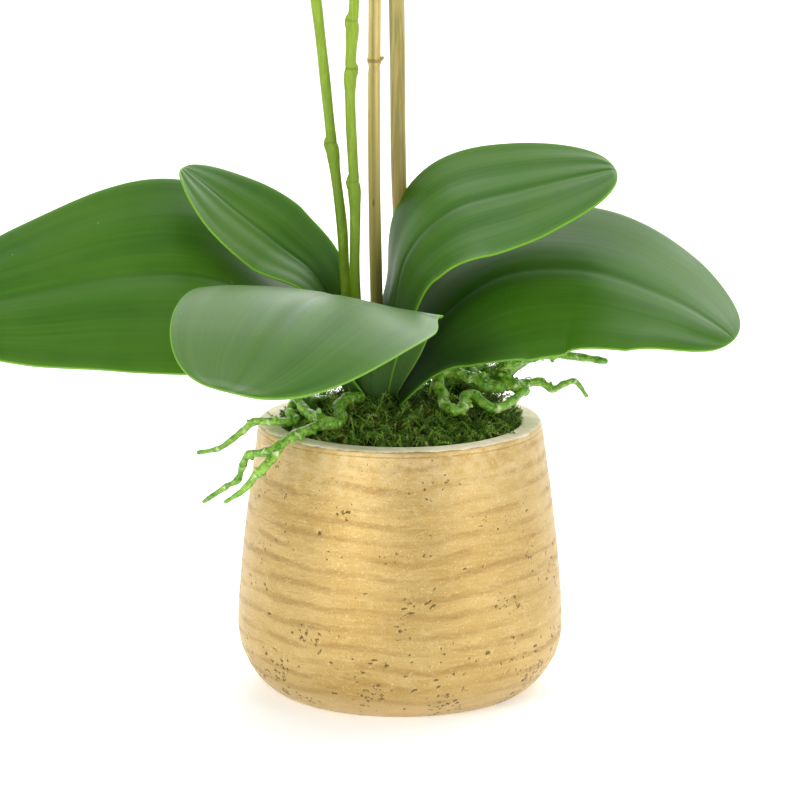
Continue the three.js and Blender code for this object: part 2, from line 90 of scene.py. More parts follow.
# Blooms are [share of the spike's length, side, stand-off, size]; buds are [share, side, radius].
SPIKES = {
    "flower_spike_left": dict(
        path=[[-18, 6, 136], [-24, 5, 178], [-26, 4, 210], [-30, 4, 244], [-37, 4, 310],
              [-46, 3, 375], [-64, 0, 440], [-98, -6, 492], [-142, -14, 518], [-186, -20, 519]],
        radius=[2.4, 3.0, 1.4], nodes=[0.229, 0.46],
        blooms=[[0.62, -1, 14, 1], [0.71, 1, 28, 0.98], [0.8, -1, 18, 0.94], [0.885, 1, 32, 0.86]],
        buds=[[0.95, -1, 7], [0.985, 1, 6]]),
    "flower_spike_right": dict(
        path=[[-16, 1, 136], [-20, -3, 182], [-20, -3, 220], [-22, -3, 270], [-20, -2, 311],
              [-15, 3, 372], [0, 0, 440], [32, -6, 500], [74, -14, 534], [120, -20, 541], [158, -24, 526]],
        radius=[2.4, 2.9, 1.3], nodes=[0.174, 0.271, 0.3115],
        blooms=[[0.65, 1, 14, 1], [0.735, -1, 28, 0.98], [0.82, 1, 18, 0.92], [0.9, -1, 32, 0.84]],
        buds=[[0.955, 1, 7], [0.985, -1, 6]]),
}
STAKES = {
    "bamboo_stake_front": dict(
        foot=[-10, 17, 30], top=[-12, 14, 440], radius=2.75, joints=[0.24, 0.615, 0.93]),
    "bamboo_stake_back": dict(
        foot=[8, 33, 30], top=[-6, 62, 400], radius=3.45, joints=[0.3, 0.86]),
}
CLIP = dict(height=372, tall=7, wall=1.6)

# Prongs as [points, radius at the start, radius at the tip].
ROOTS = {
    "aerial_roots_left_rear": [
        [[[-24, 11, 125], [-32, 9, 128], [-41, 1, 130], [-47, -8, 131], [-49, -14, 128], [-46, -20, 126],
          [-51, -22, 125.4], [-58, -18, 125], [-65, -15, 124], [-70, -15, 120], [-75, -16, 116],
          [-81, -16, 112], [-90, -16, 110]], 2.3, 0.9],
    ],
    "aerial_roots_left_front": [
        [[[-18, -6, 133], [-23, -13, 134], [-27, -20, 132], [-26, -27, 129], [-28, -33, 127],
          [-35, -33, 126.5], [-41, -40, 125.6], [-46, -46, 125.2], [-52, -51, 122], [-59, -53, 119],
          [-66, -51, 117.5], [-69, -50, 112], [-71, -50, 106], [-76, -50, 103], [-86, -50, 96]], 2.5, 0.9],
        [[[-52, -51, 122], [-55, -56, 118], [-59, -60, 114], [-63, -60, 110], [-68, -60, 104],
          [-76, -58, 98]], 2, 0.8],
        [[[-28, -33, 127], [-36, -28, 128.5], [-42, -20, 130], [-46, -13, 134]], 2.3, 1.8],
    ],
    "aerial_roots_right_front": [
        [[[0, 8, 126], [12, 12, 130], [26, 13, 138], [36, 8, 143.5], [31, 3, 144], [24, -1, 144],
          [18, -5, 144], [17, -9, 140], [19, -14, 136], [20, -20, 133], [24, -23, 131], [28, -20, 132],
          [29, -14, 135], [33, -13, 136], [37, -17, 133], [43, -19, 131], [50, -13, 133],
          [55, -6, 136]], 2.4, 1.4],
        [[[24, -1, 144], [33, -5, 141], [38, -7, 138.6], [43, -6, 138], [50, 0, 138], [57, 3, 137.5],
          [63, 4, 138], [69, 3, 135], [74, 3, 137.5], [79, 3, 138.5], [84, 3, 132]], 2.1, 0.7],
        [[[50, 0, 138], [46, 4, 143], [52, 5, 146], [58, 6, 150.5], [63, 6, 153]], 1.9, 1.4],
    ],
    "aerial_root_right_top": [
        [[[-3, 15, 127], [14, 21, 131], [30, 21, 135], [44, 19, 138], [52, 17, 142], [60, 17, 146.5],
          [70, 17, 148], [80, 17, 147], [93, 17, 145]], 2.3, 1.5],
    ],
}

# ---------- curves ----------


def circle(count):
    """Angles spaced evenly round a turn."""
    return np.linspace(0, 2 * np.pi, count, endpoint=False)


def ring(radius, angles, z):
    """Points at these angles round the Z axis."""
    return np.stack([radius * np.cos(angles), radius * np.sin(angles), np.broadcast_to(z, angles.shape)], -1)


def bell(x, spread):
    return np.exp(-((x / spread) ** 2))


def nearest(places, targets):
    """The number of the place nearest each target, and how far off it is."""
    tree = KDTree(len(places))
    for i, place in enumerate(places):
        tree.insert(place, i)
    tree.balance()
    found = [tree.find(target) for target in targets]
    return np.array([f[1] for f in found]), np.array([f[2] for f in found])


def unit(vectors):
    return vectors / np.maximum(np.linalg.norm(vectors, axis=-1, keepdims=True), 1e-9)


def smooth(x, low, high):
    share = np.clip((np.asarray(x, float) - low) / (high - low), 0, 1)
    return share * share * (3 - 2 * share)


def spline(points, t):
    """Positions and derivatives of a uniform Catmull-Rom spline at shares t of its parameter."""
    p = np.asarray(points, float)
    p = np.vstack([2 * p[0] - p[1], p, 2 * p[-1] - p[-2]])
    last = len(points) - 2
    t = np.clip(np.asarray(t, float), 0, 1) * (last + 1)
    i = np.minimum(t.astype(int), last)
    w = (t - i)[:, None]
    before, start, end, after = p[i], p[i + 1], p[i + 2], p[i + 3]
    m0, m1 = 0.5 * (end - before), 0.5 * (after - start)
    cubic, square = 2 * start - 2 * end + m0 + m1, 3 * end - 3 * start - 2 * m0 - m1
    return ((cubic * w + square) * w + m0) * w + start, (3 * cubic * w + 2 * square) * w + m0


def even(points, shares):
    """Positions and unit tangents at shares of a spline's length, and that length."""
    t = np.linspace(0, 1, 40 * len(points))
    dense = spline(points, t)[0]
    run = np.concatenate([[0], np.cumsum(np.linalg.norm(np.diff(dense, axis=0), axis=1))])
    position, slope = spline(points, np.interp(np.asarray(shares) * run[-1], run, t))
    return position, unit(slope), run[-1]


def carried(tangents):
    """A normal for each tangent, carried along the curve without twisting."""
    guide = np.array([0.0, -1.0, 0.0]) if abs(tangents[0][1]) < 0.9 else np.array([1.0, 0.0, 0.0])
    normals = []
    for tangent in tangents:
        guide = unit(guide - tangent * (guide @ tangent))
        normals.append(guide)
    return np.array(normals)


def lumps(points, size, seed=0.0):
    """Smooth noise from about -1 to 1 at each point, with features of this size."""
    size = np.broadcast_to(np.asarray(size, float), 3)
    scaled = np.asarray(points, float).reshape(-1, 3) / size + seed * 17.3
    return np.array([noise.noise(Vector(p)) for p in scaled]).reshape(np.shape(points)[:-1])


# ---------- shapes: closed parts gathered into one mesh ----------


class Shape:
    def __init__(self):
        self.verts, self.quads, self.tris, self.values, self.count = [], [], [], {}, 0

    def add(self, verts, quads=(), tris=(), **values):
        verts = np.asarray(verts, float).reshape(-1, 3)
        if len(quads):
            self.quads.append(np.asarray(quads).reshape(-1, 4) + self.count)
        if len(tris):
            self.tris.append(np.asarray(tris).reshape(-1, 3) + self.count)
        for name, value in values.items():
            value = np.asarray(value, float)
            vectors = value.ndim and value.shape[-1] == 3 and value.size != len(verts)
            shape = (len(verts), 3) if vectors else (len(verts),)
            self.values.setdefault(name, []).append(np.broadcast_to(value.reshape(-1, *shape[1:]), shape))
        self.verts.append(verts)
        self.count += len(verts)
        return self

    def take(self, other, **values):
        """Adds the one body of another shape, with these values in place of its own."""
        return self.add(other.verts[0], other.quads[0], other.tris[0], **values)

    def loft(self, rings, **values):
        """A closed body through rings of equal point counts, each end closed round a centre point."""
        rings = np.asarray(rings, float)
        m, n = rings.shape[:2]
        i, k = np.arange(m - 1)[:, None] * n, np.arange(n)[None, :]
        after = (k + 1) % n
        quads = np.stack([i + k, i + after, i + n + after, i + n + k], -1).reshape(-1, 4)
        ends = np.array([rings[0].mean(0), rings[-1].mean(0)])
        last, k, after = (m - 1) * n, k[0], after[0]
        low = np.stack([np.full(n, m * n), after, k], -1)
        high = np.stack([np.full(n, m * n + 1), last + k, last + after], -1)
        full = {}
        for name, value in values.items():
            value = np.asarray(value, float)
            if value.ndim >= 2 and value.shape[:2] == (m, n):
                flat = value.reshape(m * n, *value.shape[2:])
                value = np.concatenate([flat, [value[0].mean(0)], [value[-1].mean(0)]])
            full[name] = value
        verts = np.concatenate([rings.reshape(-1, 3), ends])
        return self.add(verts, quads, np.concatenate([low, high]), **full)


def tube(shape, points, radius_at, sides=20, step=1.5):
    """A tube with round ends along a spline. radius_at takes shares of its length."""
    length = even(points, [0, 1])[2]
    shares = np.linspace(0, 1, max(int(length / step), 4) + 1)
    centre, tangent, _ = even(points, shares)
    radius = radius_at(shares)
    dome = np.radians([80, 55, 25])
    centre = np.vstack([centre[0] - np.outer(np.sin(dome) * radius[0], tangent[0]), centre,
                        centre[-1] + np.outer(np.sin(dome[::-1]) * radius[-1], tangent[-1])])
    radius = np.concatenate([np.cos(dome) * radius[0], radius, np.cos(dome[::-1]) * radius[-1]])
    tangent = np.vstack([[tangent[0]] * 3, tangent, [tangent[-1]] * 3])
    shares = np.concatenate([[0] * 3, shares, [1] * 3])
    normal = carried(tangent)
    other = np.cross(tangent, normal)
    turn = circle(sides)
    rings = centre[:, None] + radius[:, None, None] * (
        np.cos(turn)[None, :, None] * normal[:, None] + np.sin(turn)[None, :, None] * other[:, None])
    run = np.broadcast_arrays(shares[:, None] * length, turn[None], 0.0)
    return shape.loft(rings, run=np.stack(run, -1))


def width_share(t, spec):
    rising = spec["foot"] + (1 - spec["foot"]) * smooth(t / spec["widest"], -0.12, 1)
    beyond = np.clip((t - spec["widest"]) / (1 - spec["widest"]), 0, 1)
    return np.where(t < spec["widest"], rising, np.sqrt(np.maximum(1 - beyond ** spec["blunt"], 4e-4)))


def blade(shape, spec, steps, columns, thickness, edge, ripple=None):
    """A leaf or petal along its midrib, folded, curled and rippled, with round margins.
    ripple(t, v) is a lift in millimetres at shares t along and v across."""
    most = int(steps * 0.75)
    t = np.concatenate([np.linspace(0, 0.86, most, endpoint=False),
                        1 - 0.14 * (1 - np.linspace(0, 1, steps - most + 1)) ** 1.8])
    v = np.linspace(-1, 1, columns + 1)
    centre, slope = spline(spec["midrib"], t)
    along = unit(slope)
    across = spline(spec["across"], t)[0]
    across = unit(across - along * (across * along).sum(-1, keepdims=True))
    fold, curl, lean = spline(spec["section"], t)[0].T
    fold = np.radians(fold)
    normal = np.cross(across, along)
    share = width_share(t, spec)
    half = spec["width"] / 2 * share
    lift = (np.hypot(v, 0.12) - 0.12)[None] * np.sin(fold)[:, None] + curl[:, None] * v**2 + lean[:, None] * v
    lift = lift * half[:, None]
    if ripple is not None:
        lift = lift + ripple(t[:, None], v[None]) * np.clip(share * 2.5, 0, 1)[:, None]
    sheet = centre[:, None] + across[:, None] * (half * np.cos(fold))[:, None, None] * v[None, :, None]
    sheet = sheet + normal[:, None] * lift[..., None]
    if "nib" in spec:  # a small corner in one margin: place along, side, reach, spread
        at, side, reach, spread = spec["nib"]
        out = reach * np.exp(-np.abs((t - at) / spread) ** 1.4)[:, None] * np.clip(side * v, 0, 1)[None] ** 4
        sheet = sheet + across[:, None] * (side * out)[..., None]
    sideways = np.gradient(sheet, axis=1)
    facing = unit(np.cross(sideways, np.gradient(sheet, axis=0)))
    facing = np.where((facing * normal[:, None]).sum(-1, keepdims=True) < 0, -facing, facing)
    thick = (thickness + (edge - thickness) * v**2)[None] / 2 * np.clip(share * 4, 0.35, 1)[:, None]
    upper, lower = sheet + facing * thick[..., None], sheet - facing * thick[..., None]

    def rounding(column, side, face, degrees):
        outward = unit(sideways[:, column]) * side
        angle = np.radians(degrees)
        offset = np.cos(angle)[None, :, None] * facing[:, None, column] * face
        offset = offset + np.sin(angle)[None, :, None] * outward[:, None]
        return sheet[:, None, column] + offset * thick[:, None, column, None]

    arc = np.array([30, 65])
    parts = [(rounding(0, -1, 1, arc[::-1]), -1, 1), (upper, None, 1), (rounding(-1, 1, 1, arc), 1, 1),
             (rounding(-1, 1, -1, arc[::-1]), 1, -1), (lower[:, ::-1], None, -1),
             (rounding(0, -1, -1, arc), -1, -1)]
    rings = np.concatenate([p for p, _, _ in parts], axis=1)
    spread = [np.full(p.shape[1], side) if side else v[::face] for p, side, face in parts]
    face = np.concatenate([np.full(p.shape[1], float(f)) for p, _, f in parts])
    outline = np.concatenate([sheet[:, 0], sheet[::-1, -1]])
    fine = np.linspace(0, 1, 8, endpoint=False)[None, :, None]
    outline = (outline[:-1, None] * (1 - fine) + outline[1:, None] * fine).reshape(-1, 3)
    margin = nearest(outline, rings.reshape(-1, 3))[1].reshape(rings.shape[:2])
    length = np.linalg.norm(np.diff(centre, axis=0), axis=1).sum()
    where = np.broadcast_arrays(np.concatenate(spread) * spec["width"] / 2, (t * length)[:, None], margin)
    return shape.loft(rings, blade=np.stack(where, -1), face=np.broadcast_to(face, rings.shape[:2]))


def turned(shape, profile, sides, centre=(0, 0), push=None, **values):
    """A body turned about a vertical axis from [radius, height] rows; push(points) moves points outward."""
    r, z = np.asarray(profile, float).T
    out = ring(1, circle(sides), 0)
    rings = r[:, None, None] * out[None] + np.array([0, 0, 1]) * z[:, None, None]
    if push is not None:
        rings = rings + out[None] * push(rings)[..., None]
    rings = rings + np.array([*centre, 0])
    values = {name: np.broadcast_to(value[:, None], rings.shape[:2]) for name, value in values.items()}
    return shape.loft(rings, **values)


def write_mesh(name, shape):
    """A mesh of this shape in metres, its faces turned outward, with its values as attributes."""
    verts = np.concatenate(shape.verts) * MM
    quads = np.concatenate(shape.quads) if shape.quads else np.zeros((0, 4), int)
    tris = np.concatenate(shape.tris) if shape.tris else np.zeros((0, 3), int)
    mesh = bpy.data.meshes.new(name)
    mesh.vertices.add(len(verts))
    mesh.vertices.foreach_set("co", verts.ravel())
    mesh.loops.add(quads.size + tris.size)
    mesh.loops.foreach_set("vertex_index", np.concatenate([quads.ravel(), tris.ravel()]).astype(np.int32))
    mesh.polygons.add(len(quads) + len(tris))
    starts = np.concatenate([np.arange(len(quads)) * 4, quads.size + np.arange(len(tris)) * 3])
    mesh.polygons.foreach_set("loop_start", starts.astype(np.int32))
    mesh.update(calc_edges=True)
    edit = bmesh.new()
    edit.from_mesh(mesh)
    bmesh.ops.recalc_face_normals(edit, faces=edit.faces)
    edit.to_mesh(mesh)
    edit.free()
    for value_name, parts in shape.values.items():
        set_values(mesh, value_name, np.concatenate(parts))
    return mesh


def set_values(mesh, name, values):
    kind, field = ("FLOAT_VECTOR", "vector") if values.ndim == 2 else ("FLOAT", "value")
    layer = mesh.attributes.get(name) or mesh.attributes.new(name, kind, "POINT")
    layer.data.foreach_set(field, np.ascontiguousarray(values, np.float32).ravel())


def placed(name, data):
    """A new object in the scene."""
    thing = bpy.data.objects.new(name, data)
    bpy.context.scene.collection.objects.link(thing)
    return thing


def piece(name, shape, look, slot, *stands_for, flat=False):
    """Puts a shape, or a mesh already made, in the scene as a piece of the object."""
    mesh = shape if isinstance(shape, bpy.types.Mesh) else write_mesh(name, shape)
    mesh.polygons.foreach_set("use_smooth", np.full(len(mesh.polygons), not flat))
    mesh.materials.clear()
    mesh.materials.append(look)
    thing = placed(name, mesh)
    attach(thing, "root")
    if stands_for:
        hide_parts(*stands_for)
    return thing


def fused(name, shape, voxel, rounds=2):
    """The shape's overlapping parts grown together into one smooth skin."""
    rough = placed(name + "_rough", write_mesh(name + "_rough", shape))
    remesh = rough.modifiers.new("Remesh", "REMESH")
    remesh.mode, remesh.voxel_size = "VOXEL", voxel * MM
    relax = rough.modifiers.new("Relax", "SMOOTH")
    relax.factor, relax.iterations = 0.5, rounds
    mesh = bpy.data.meshes.new_from_object(rough.evaluated_get(bpy.context.evaluated_depsgraph_get()))
    mesh.name = name
    bpy.data.objects.remove(rough)
    return mesh


def points_of(mesh):
    points = np.zeros(len(mesh.vertices) * 3)
    mesh.vertices.foreach_get("co", points)
    return points.reshape(-1, 3) / MM


# ---------- materials ----------


def colour(code):
    """Linear colour from a hex code as seen on a screen."""
    parts = [int(code[i : i + 2], 16) / 255 for i in (1, 3, 5)]
    return (*[c / 12.92 if c <= 0.04045 else ((c + 0.055) / 1.055) ** 2.4 for c in parts], 1.0)


class Nodes:
    """A node tree. Each call adds nodes and returns the socket that comes out of them."""

    def __init__(self, tree):
        self.tree, self.own = tree, None
        tree.nodes.clear()

    def put(self, socket, value):
        if isinstance(value, bpy.types.NodeSocket):
            self.tree.links.new(value, socket)
        elif isinstance(value, str):
            socket.default_value = colour(value)
        else:
            socket.default_value = value

    def node(self, kind, inputs=(), **settings):
        made = self.tree.nodes.new("ShaderNode" + kind)
        for key, value in settings.items():
            setattr(made, key, value)
        for key, value in dict(inputs).items():
            self.put(made.inputs[key], value)
        return made

    def place(self):
        """Where the surface point is in the object's frame, in millimetres."""
        if self.own is None:
            spot = self.node("TexCoord").outputs["Object"]
            self.own = self.node("VectorMath", {0: spot, 3: 1000.0}, operation="SCALE").outputs[0]
        return self.own

    def value(self, name):
        return self.node("Attribute", attribute_name=name).outputs["Fac"]

    def vector(self, name):
        return self.node("Attribute", attribute_name=name).outputs["Vector"]

    def split(self, vector):
        return self.node("SeparateXYZ", {0: vector}).outputs

    def stretch(self, vector, scale, shift=(0, 0, 0)):
        """The vector times scale, which is one number or three, plus shift."""
        scale = scale if isinstance(scale, tuple) else (scale,) * 3
        return self.node("VectorMath", {0: vector, 1: scale, 2: shift}, operation="MULTIPLY_ADD").outputs[0]

    def noise(self, vector, scale, detail=3.0, rough=0.5, warp=0.0, shift=(0, 0, 0)):
        inputs = {"Vector": self.stretch(vector, scale, shift), "Scale": 1.0, "Detail": detail,
                  "Roughness": rough, "Distortion": warp}
        return self.node("TexNoise", inputs).outputs["Fac"]

    def cells(self, vector, scale, output="Distance"):
        return self.node("TexVoronoi", {"Vector": self.stretch(vector, scale), "Scale": 1.0}).outputs[output]

    def warped(self, vector, scale, amount):
        """The same place, pushed about by this many millimetres of noise."""
        push = self.node("TexNoise", {"Vector": vector, "Scale": scale, "Detail": 2.0}).outputs["Color"]
        inputs = {0: push, 1: (amount,) * 3, 2: vector}
        return self.node("VectorMath", inputs, operation="MULTIPLY_ADD").outputs[0]

    def ramp(self, x, low, high, start=0.0, end=1.0, kind="SMOOTHSTEP"):
        """Goes smoothly from start to end as x goes from low to high."""
        inputs = {"Value": x, "From Min": low, "From Max": high, "To Min": start, "To Max": end}
        return self.node("MapRange", inputs, interpolation_type=kind).outputs[0]

    def math(self, operation, a, b=0.0):
        return self.node("Math", {0: a, 1: b}, operation=operation).outputs[0]

    def chain(self, operation, first, *others):
        for other in others:
            first = self.math(operation, first, other)
        return first

    def times(self, *factors):
        return self.chain("MULTIPLY", *factors)

    def plus(self, *terms):
        return self.chain("ADD", *terms)

    def less(self, *terms):
        return self.chain("SUBTRACT", *terms)

    def size(self, value):
        return self.math("ABSOLUTE", value)

    def mix(self, share, a, b):
        return self.node("Mix", {0: share, 6: a, 7: b}, data_type="RGBA").outputs[2]

    def coats(self, tint, *coats):
        """Lays colours over tint, each where a value ramps up: (value, low, high, start, end, colour)."""
        for *ramp, code in coats:
            tint = self.mix(self.ramp(*ramp), tint, code)
        return tint

    def bump(self, height, depth, below=None):
        """A normal from a height of 0 to 1, this many millimetres deep."""
        made = self.node("Bump", {"Height": height, "Distance": depth * MM, "Strength": 1.0})
        if below is not None:
            self.put(made.inputs["Normal"], below)
        return made.outputs[0]


class Look(Nodes):
    """One material. Values that are the same all over it are given by name at the start."""

    def __init__(self, name, **constants):
        self.material = bpy.data.materials.new(name)
        self.material.use_nodes = True
        super().__init__(self.material.node_tree)
        self.shader = self.node("BsdfPrincipled")
        self.tree.links.new(self.shader.outputs[0], self.node("OutputMaterial").inputs[0])
        for socket, value in constants.items():
            self.shader.inputs[socket.replace("_", " ")].default_value = value

    def finish(self, tint, value, low, high, normal):
        """The usual end of a look: its roughness goes from low to high with a noise value."""
        return self.set(Base_Color=tint, Roughness=self.ramp(value, 0.3, 0.7, low, high), Normal=normal)

    def set(self, **sockets):
        for name, value in sockets.items():
            self.put(self.shader.inputs[name.replace("_", " ")], value)
        return self.material


def inner(weight, radius, scale=0.001):
    """Light that goes a little way into the surface, as constants of a look."""
    return dict(Subsurface_Weight=weight, Subsurface_Radius=radius, Subsurface_Scale=scale)


def leaf_look(name, shine):
    """Satin moulded leaf: lengthwise veins, painted shade at the base and along the midrib channel, pale
    underside, a paler moulded margin with a painted edge highlight.
    """
    look = Look(name, Specular_IOR_Level=shine)
    where = look.vector("blade")
    x, y, margin = look.split(where)
    under = look.ramp(look.value("face"), -0.2, 0.2, 1, 0)
    broad = look.noise(where, (0.12, 0.006, 0), detail=2, rough=0.5, warp=0.1)
    veins = look.noise(where, (0.55, 0.008, 0), detail=2, rough=0.6)
    fine = look.noise(where, (1.9, 0.014, 0), detail=1)
    cloud = look.noise(look.place(), 0.02, detail=3)
    grain = look.noise(look.place(), 2.2, detail=2)
    tint = look.mix(look.ramp(broad, 0.3, 0.72), "#2f5e08", "#3c6c0c")
    tint = look.coats(tint,
        (cloud, 0.35, 0.7, 0, 0.5, "#48720e"),
        (veins, 0.5, 0.7, 0, 0.16, "#578530"),
        (fine, 0.34, 0.5, 0.1, 0, "#1d4806"))
    # darker along the midrib, most near the base: painted shade in the midrib channel
    midrib_shade = look.times(look.ramp(look.size(x), 0.3, 2.4, 1, 0), look.ramp(y, 25, 150, 0.45, 0.12))
    tint = look.mix(midrib_shade, tint, "#1c4a10")
    # darker towards the base of the leaf: painted shade where the leaves crowd into the crown
    tint = look.mix(look.ramp(y, 4, 82, 0.85, 0), tint, "#17360c")
    tint = look.mix(look.times(under, 0.4), tint, "#5a8434")
    # a paler margin band and a bright edge line: partly the moulded edge's own colour, partly a painted edge
    # highlight
    tint = look.coats(tint,
        (margin, 0.6, 3.6, 0.3, 0, "#548a1e"),
        (margin, 0.4, 0.85, 0.8, 0, "#78ad2c"))
    dust = look.ramp(look.cells(look.place(), 0.07), 0.018, 0.026, 0.5, 0)
    tint = look.mix(dust, tint, "#a8bd96")
    gloss = look.plus(look.ramp(cloud, 0.3, 0.7, 0.38, 0.46), look.ramp(grain, 0.35, 0.65, -0.02, 0.03),
                      look.times(under, 0.14), look.ramp(y, 10, 70, 0.25, 0))
    surface = look.bump(grain, 0.008, look.bump(fine, 0.012, look.bump(veins, 0.025, look.bump(broad, 0.07))))
    return look.set(Base_Color=tint, Roughness=gloss, Normal=surface)


def pot_look():
    """Gold paint in wavy level strokes on cast concrete, pitted low down, bare at the rim and inside."""
    look = Look("gold_concrete", Specular_IOR_Level=0.4)
    spot = look.place()
    x, y, z = look.split(spot)
    rim, pit = look.value("rim"), look.value("pit")
    speck = look.noise(spot, 1.1, detail=4, rough=0.65)
    dab = look.noise(spot, (0.16, 0.16, 0.22), detail=3, rough=0.6)
    drift = look.noise(spot, 0.02, detail=2)
    broad = look.noise(spot, (0.03, 0.03, 0.05), detail=3)
    # the strokes: level waves a stroke apart, dipping at the middle of the front, broken into patches
    front = look.times(look.ramp(look.size(look.less(x, 3.0)), 0, 34, 1, 0), look.ramp(y, -20, 0, 1, 0))
    level = look.plus(z, look.times(front, 2.4), look.times(drift, 12.0), look.times(dab, 2.2))
    wave = look.math("SINE", look.math("MULTIPLY", level, 2 * math.pi / 8.1))
    patch = look.noise(spot, (0.03, 0.03, 0.17), detail=3, rough=0.55, warp=0.2)
    ragged = look.noise(spot, (0.3, 0.3, 0.9), detail=4, rough=0.7)
    stroke = look.times(look.ramp(wave, -0.1, 0.95), look.ramp(patch, 0.4, 0.6, 0.2, 1),
                        look.ramp(ragged, 0.3, 0.6, 0.55, 1))
    streak = look.noise(spot, (0.07, 0.07, 0.7), detail=4, rough=0.6, warp=0.2)
    gold = look.mix(look.ramp(broad, 0.3, 0.7), "#bb9b5a", "#c8aa6c")
    gold = look.coats(gold,
        (streak, 0.42, 0.7, 0, 0.4, "#d5bb80"),
        (dab, 0.5, 0.72, 0, 0.3, "#dac48c"))
    gold = look.mix(look.times(stroke, 0.6), gold, "#a5824a")
    gold = look.coats(gold,
        (speck, 0.3, 0.44, 0.4, 0, "#8f7240"),
        (speck, 0.58, 0.7, 0, 0.45, "#f3e3b0"))
    # paler towards the foot: painted reflection of the floor; paler patches towards the rim
    gold = look.mix(look.ramp(z, 16, 0, 0, 0.6), gold, "#dfcb9c")
    gold = look.mix(look.times(look.ramp(z, 84, 122, 0, 0.4), look.ramp(dab, 0.35, 0.6)), gold, "#dcc79a")
    # fine pits gather low down and in clusters, round the modelled ones
    rough = look.warped(spot, 0.9, 2.4)
    cluster = look.noise(spot, (0.045, 0.045, 0.06), detail=3, rough=0.6, shift=(4, 9, 2))
    low = look.ramp(z, 10, 82, 0.13, 0)
    near = look.less(look.plus(look.ramp(cluster, 0.44, 0.64, -0.03, 0.3), low), 0.05)
    small = look.math("GREATER_THAN", near, look.cells(rough, (0.34, 0.34, 0.42)))
    small = look.times(small, look.ramp(speck, 0.42, 0.56, 0.1, 1))
    large = look.times(look.ramp(pit, 0.25, 0.75), look.ramp(speck, 0.36, 0.5, 0.45, 1))
    hole = look.math("MAXIMUM", small, large)
    crust = look.times(look.ramp(pit, 0.02, 0.2), look.ramp(pit, 0.5, 0.3))
    gold = look.mix(look.times(crust, look.ramp(speck, 0.5, 0.66), 0.45), gold, "#f0e0b0")
    # the pits are coloured dark: painted shade inside the holes
    gold = look.mix(look.times(hole, 0.85), gold, "#5a431f")
    crack = look.noise(spot, (0.07, 0.07, 0.5), detail=2, rough=0.4, shift=(7, 3, 5))
    crack = look.times(look.ramp(look.size(look.less(crack, 0.5)), 0.0, 0.005, 1, 0),
                       look.ramp(patch, 0.52, 0.62))
    gold = look.mix(look.times(crack, 0.55), gold, "#6d5028")
    # the paint stops a little unevenly at the rim, over a thin brown line
    uneven = look.plus(rim, look.ramp(look.noise(spot, 0.12, detail=4), 0.3, 0.7, -0.45, 0.45))
    below = look.less(look.plus(rim, look.times(drift, 0.8)), 3.0)
    line = look.times(look.ramp(look.size(below), 0.2, 0.5, 1, 0), look.ramp(ragged, 0.36, 0.5))
    gold = look.mix(look.times(line, 0.45), gold, "#83602f")
    bare = look.ramp(uneven, -0.1, 0.2, 1, 0)
    stain = look.noise(spot, 0.16, detail=4, rough=0.6)
    cream = look.mix(look.ramp(stain, 0.35, 0.7), "#efe0c0", "#fff3dc")
    cream = look.mix(look.ramp(speck, 0.3, 0.4, 0.3, 0), cream, "#a99c80")
    tint = look.mix(bare, gold, cream)
    metal = look.times(look.less(1.0, bare), look.less(1.0, look.times(hole, 0.7)), 0.72)
    gloss = look.plus(look.ramp(streak, 0.3, 0.7, 0.33, 0.44), look.times(stroke, 0.1))
    gloss = look.chain("MAXIMUM", gloss, look.times(bare, 0.86), look.times(hole, 0.8))
    height = look.less(look.ramp(speck, 0.3, 0.7, 0.0, 0.2), look.times(small, 0.9))
    strokes = look.plus(look.times(dab, 0.8), look.times(streak, 0.5))
    surface = look.bump(height, 0.35, look.bump(strokes, 0.3))
    return look.set(Base_Color=tint, Metallic=metal, Roughness=gloss, Normal=surface)


def moss_look():
    look = Look("sheet_moss", Specular_IOR_Level=0.3)
    spot = look.place()
    tone, height = look.value("tone"), look.value("lift")
    patch = look.noise(spot, 0.09, detail=3)
    grain = look.noise(spot, 1.6, detail=3)
    tint = look.mix(tone, "#3b6616", "#a4c94c")
    # near black where the moss is low: painted shade in its depths
    tint = look.coats(tint,
        (tone, 0.86, 0.96, 0, 0.85, "#c9c674"),
        (tone, 0.05, 0.0, 0, 0.8, "#7d4a26"),
        (patch, 0.35, 0.65, 0.3, 0, "#2f5512"),
        (height, 0.05, 0.6, 0.9, 0, "#101f06"),
        (grain, 0.35, 0.6, 0.2, 0, "#26460f"))
    return look.finish(tint, grain, 0.6, 0.85, look.bump(grain, 0.2))


def root_look():
    """Clear green moulded root: mottled, with pale rings where it bends."""
    look = Look("root_green", Specular_IOR_Level=0.55, **inner(0.2, (0.6, 1.0, 0.3)), Coat_Weight=0.2,
                Coat_Roughness=0.25)
    spot = look.place()
    ring, tip = look.value("ring"), look.value("tip")
    mottle = look.noise(spot, 0.35, detail=4, rough=0.62, warp=0.5)
    bead = look.cells(look.warped(spot, 0.8, 1.2), 0.6)
    tint = look.mix(look.ramp(mottle, 0.34, 0.66), "#4c8912", "#97c83e")
    tint = look.coats(tint,
        (bead, 0.12, 0.5, 0.5, 0, "#bcdc6c"),
        (mottle, 0.3, 0.38, 0.6, 0, "#336512"),
        (tip, 0.5, 1.0, 0, 0.35, "#5f9c22"))
    tint = look.mix(look.times(ring, look.ramp(mottle, 0.42, 0.6), 0.85), tint, "#dfe9b8")
    gloss = look.ramp(mottle, 0.3, 0.7, 0.26, 0.42)
    return look.set(Base_Color=tint, Roughness=gloss, Normal=look.bump(mottle, 0.35, look.bump(bead, 0.25)))


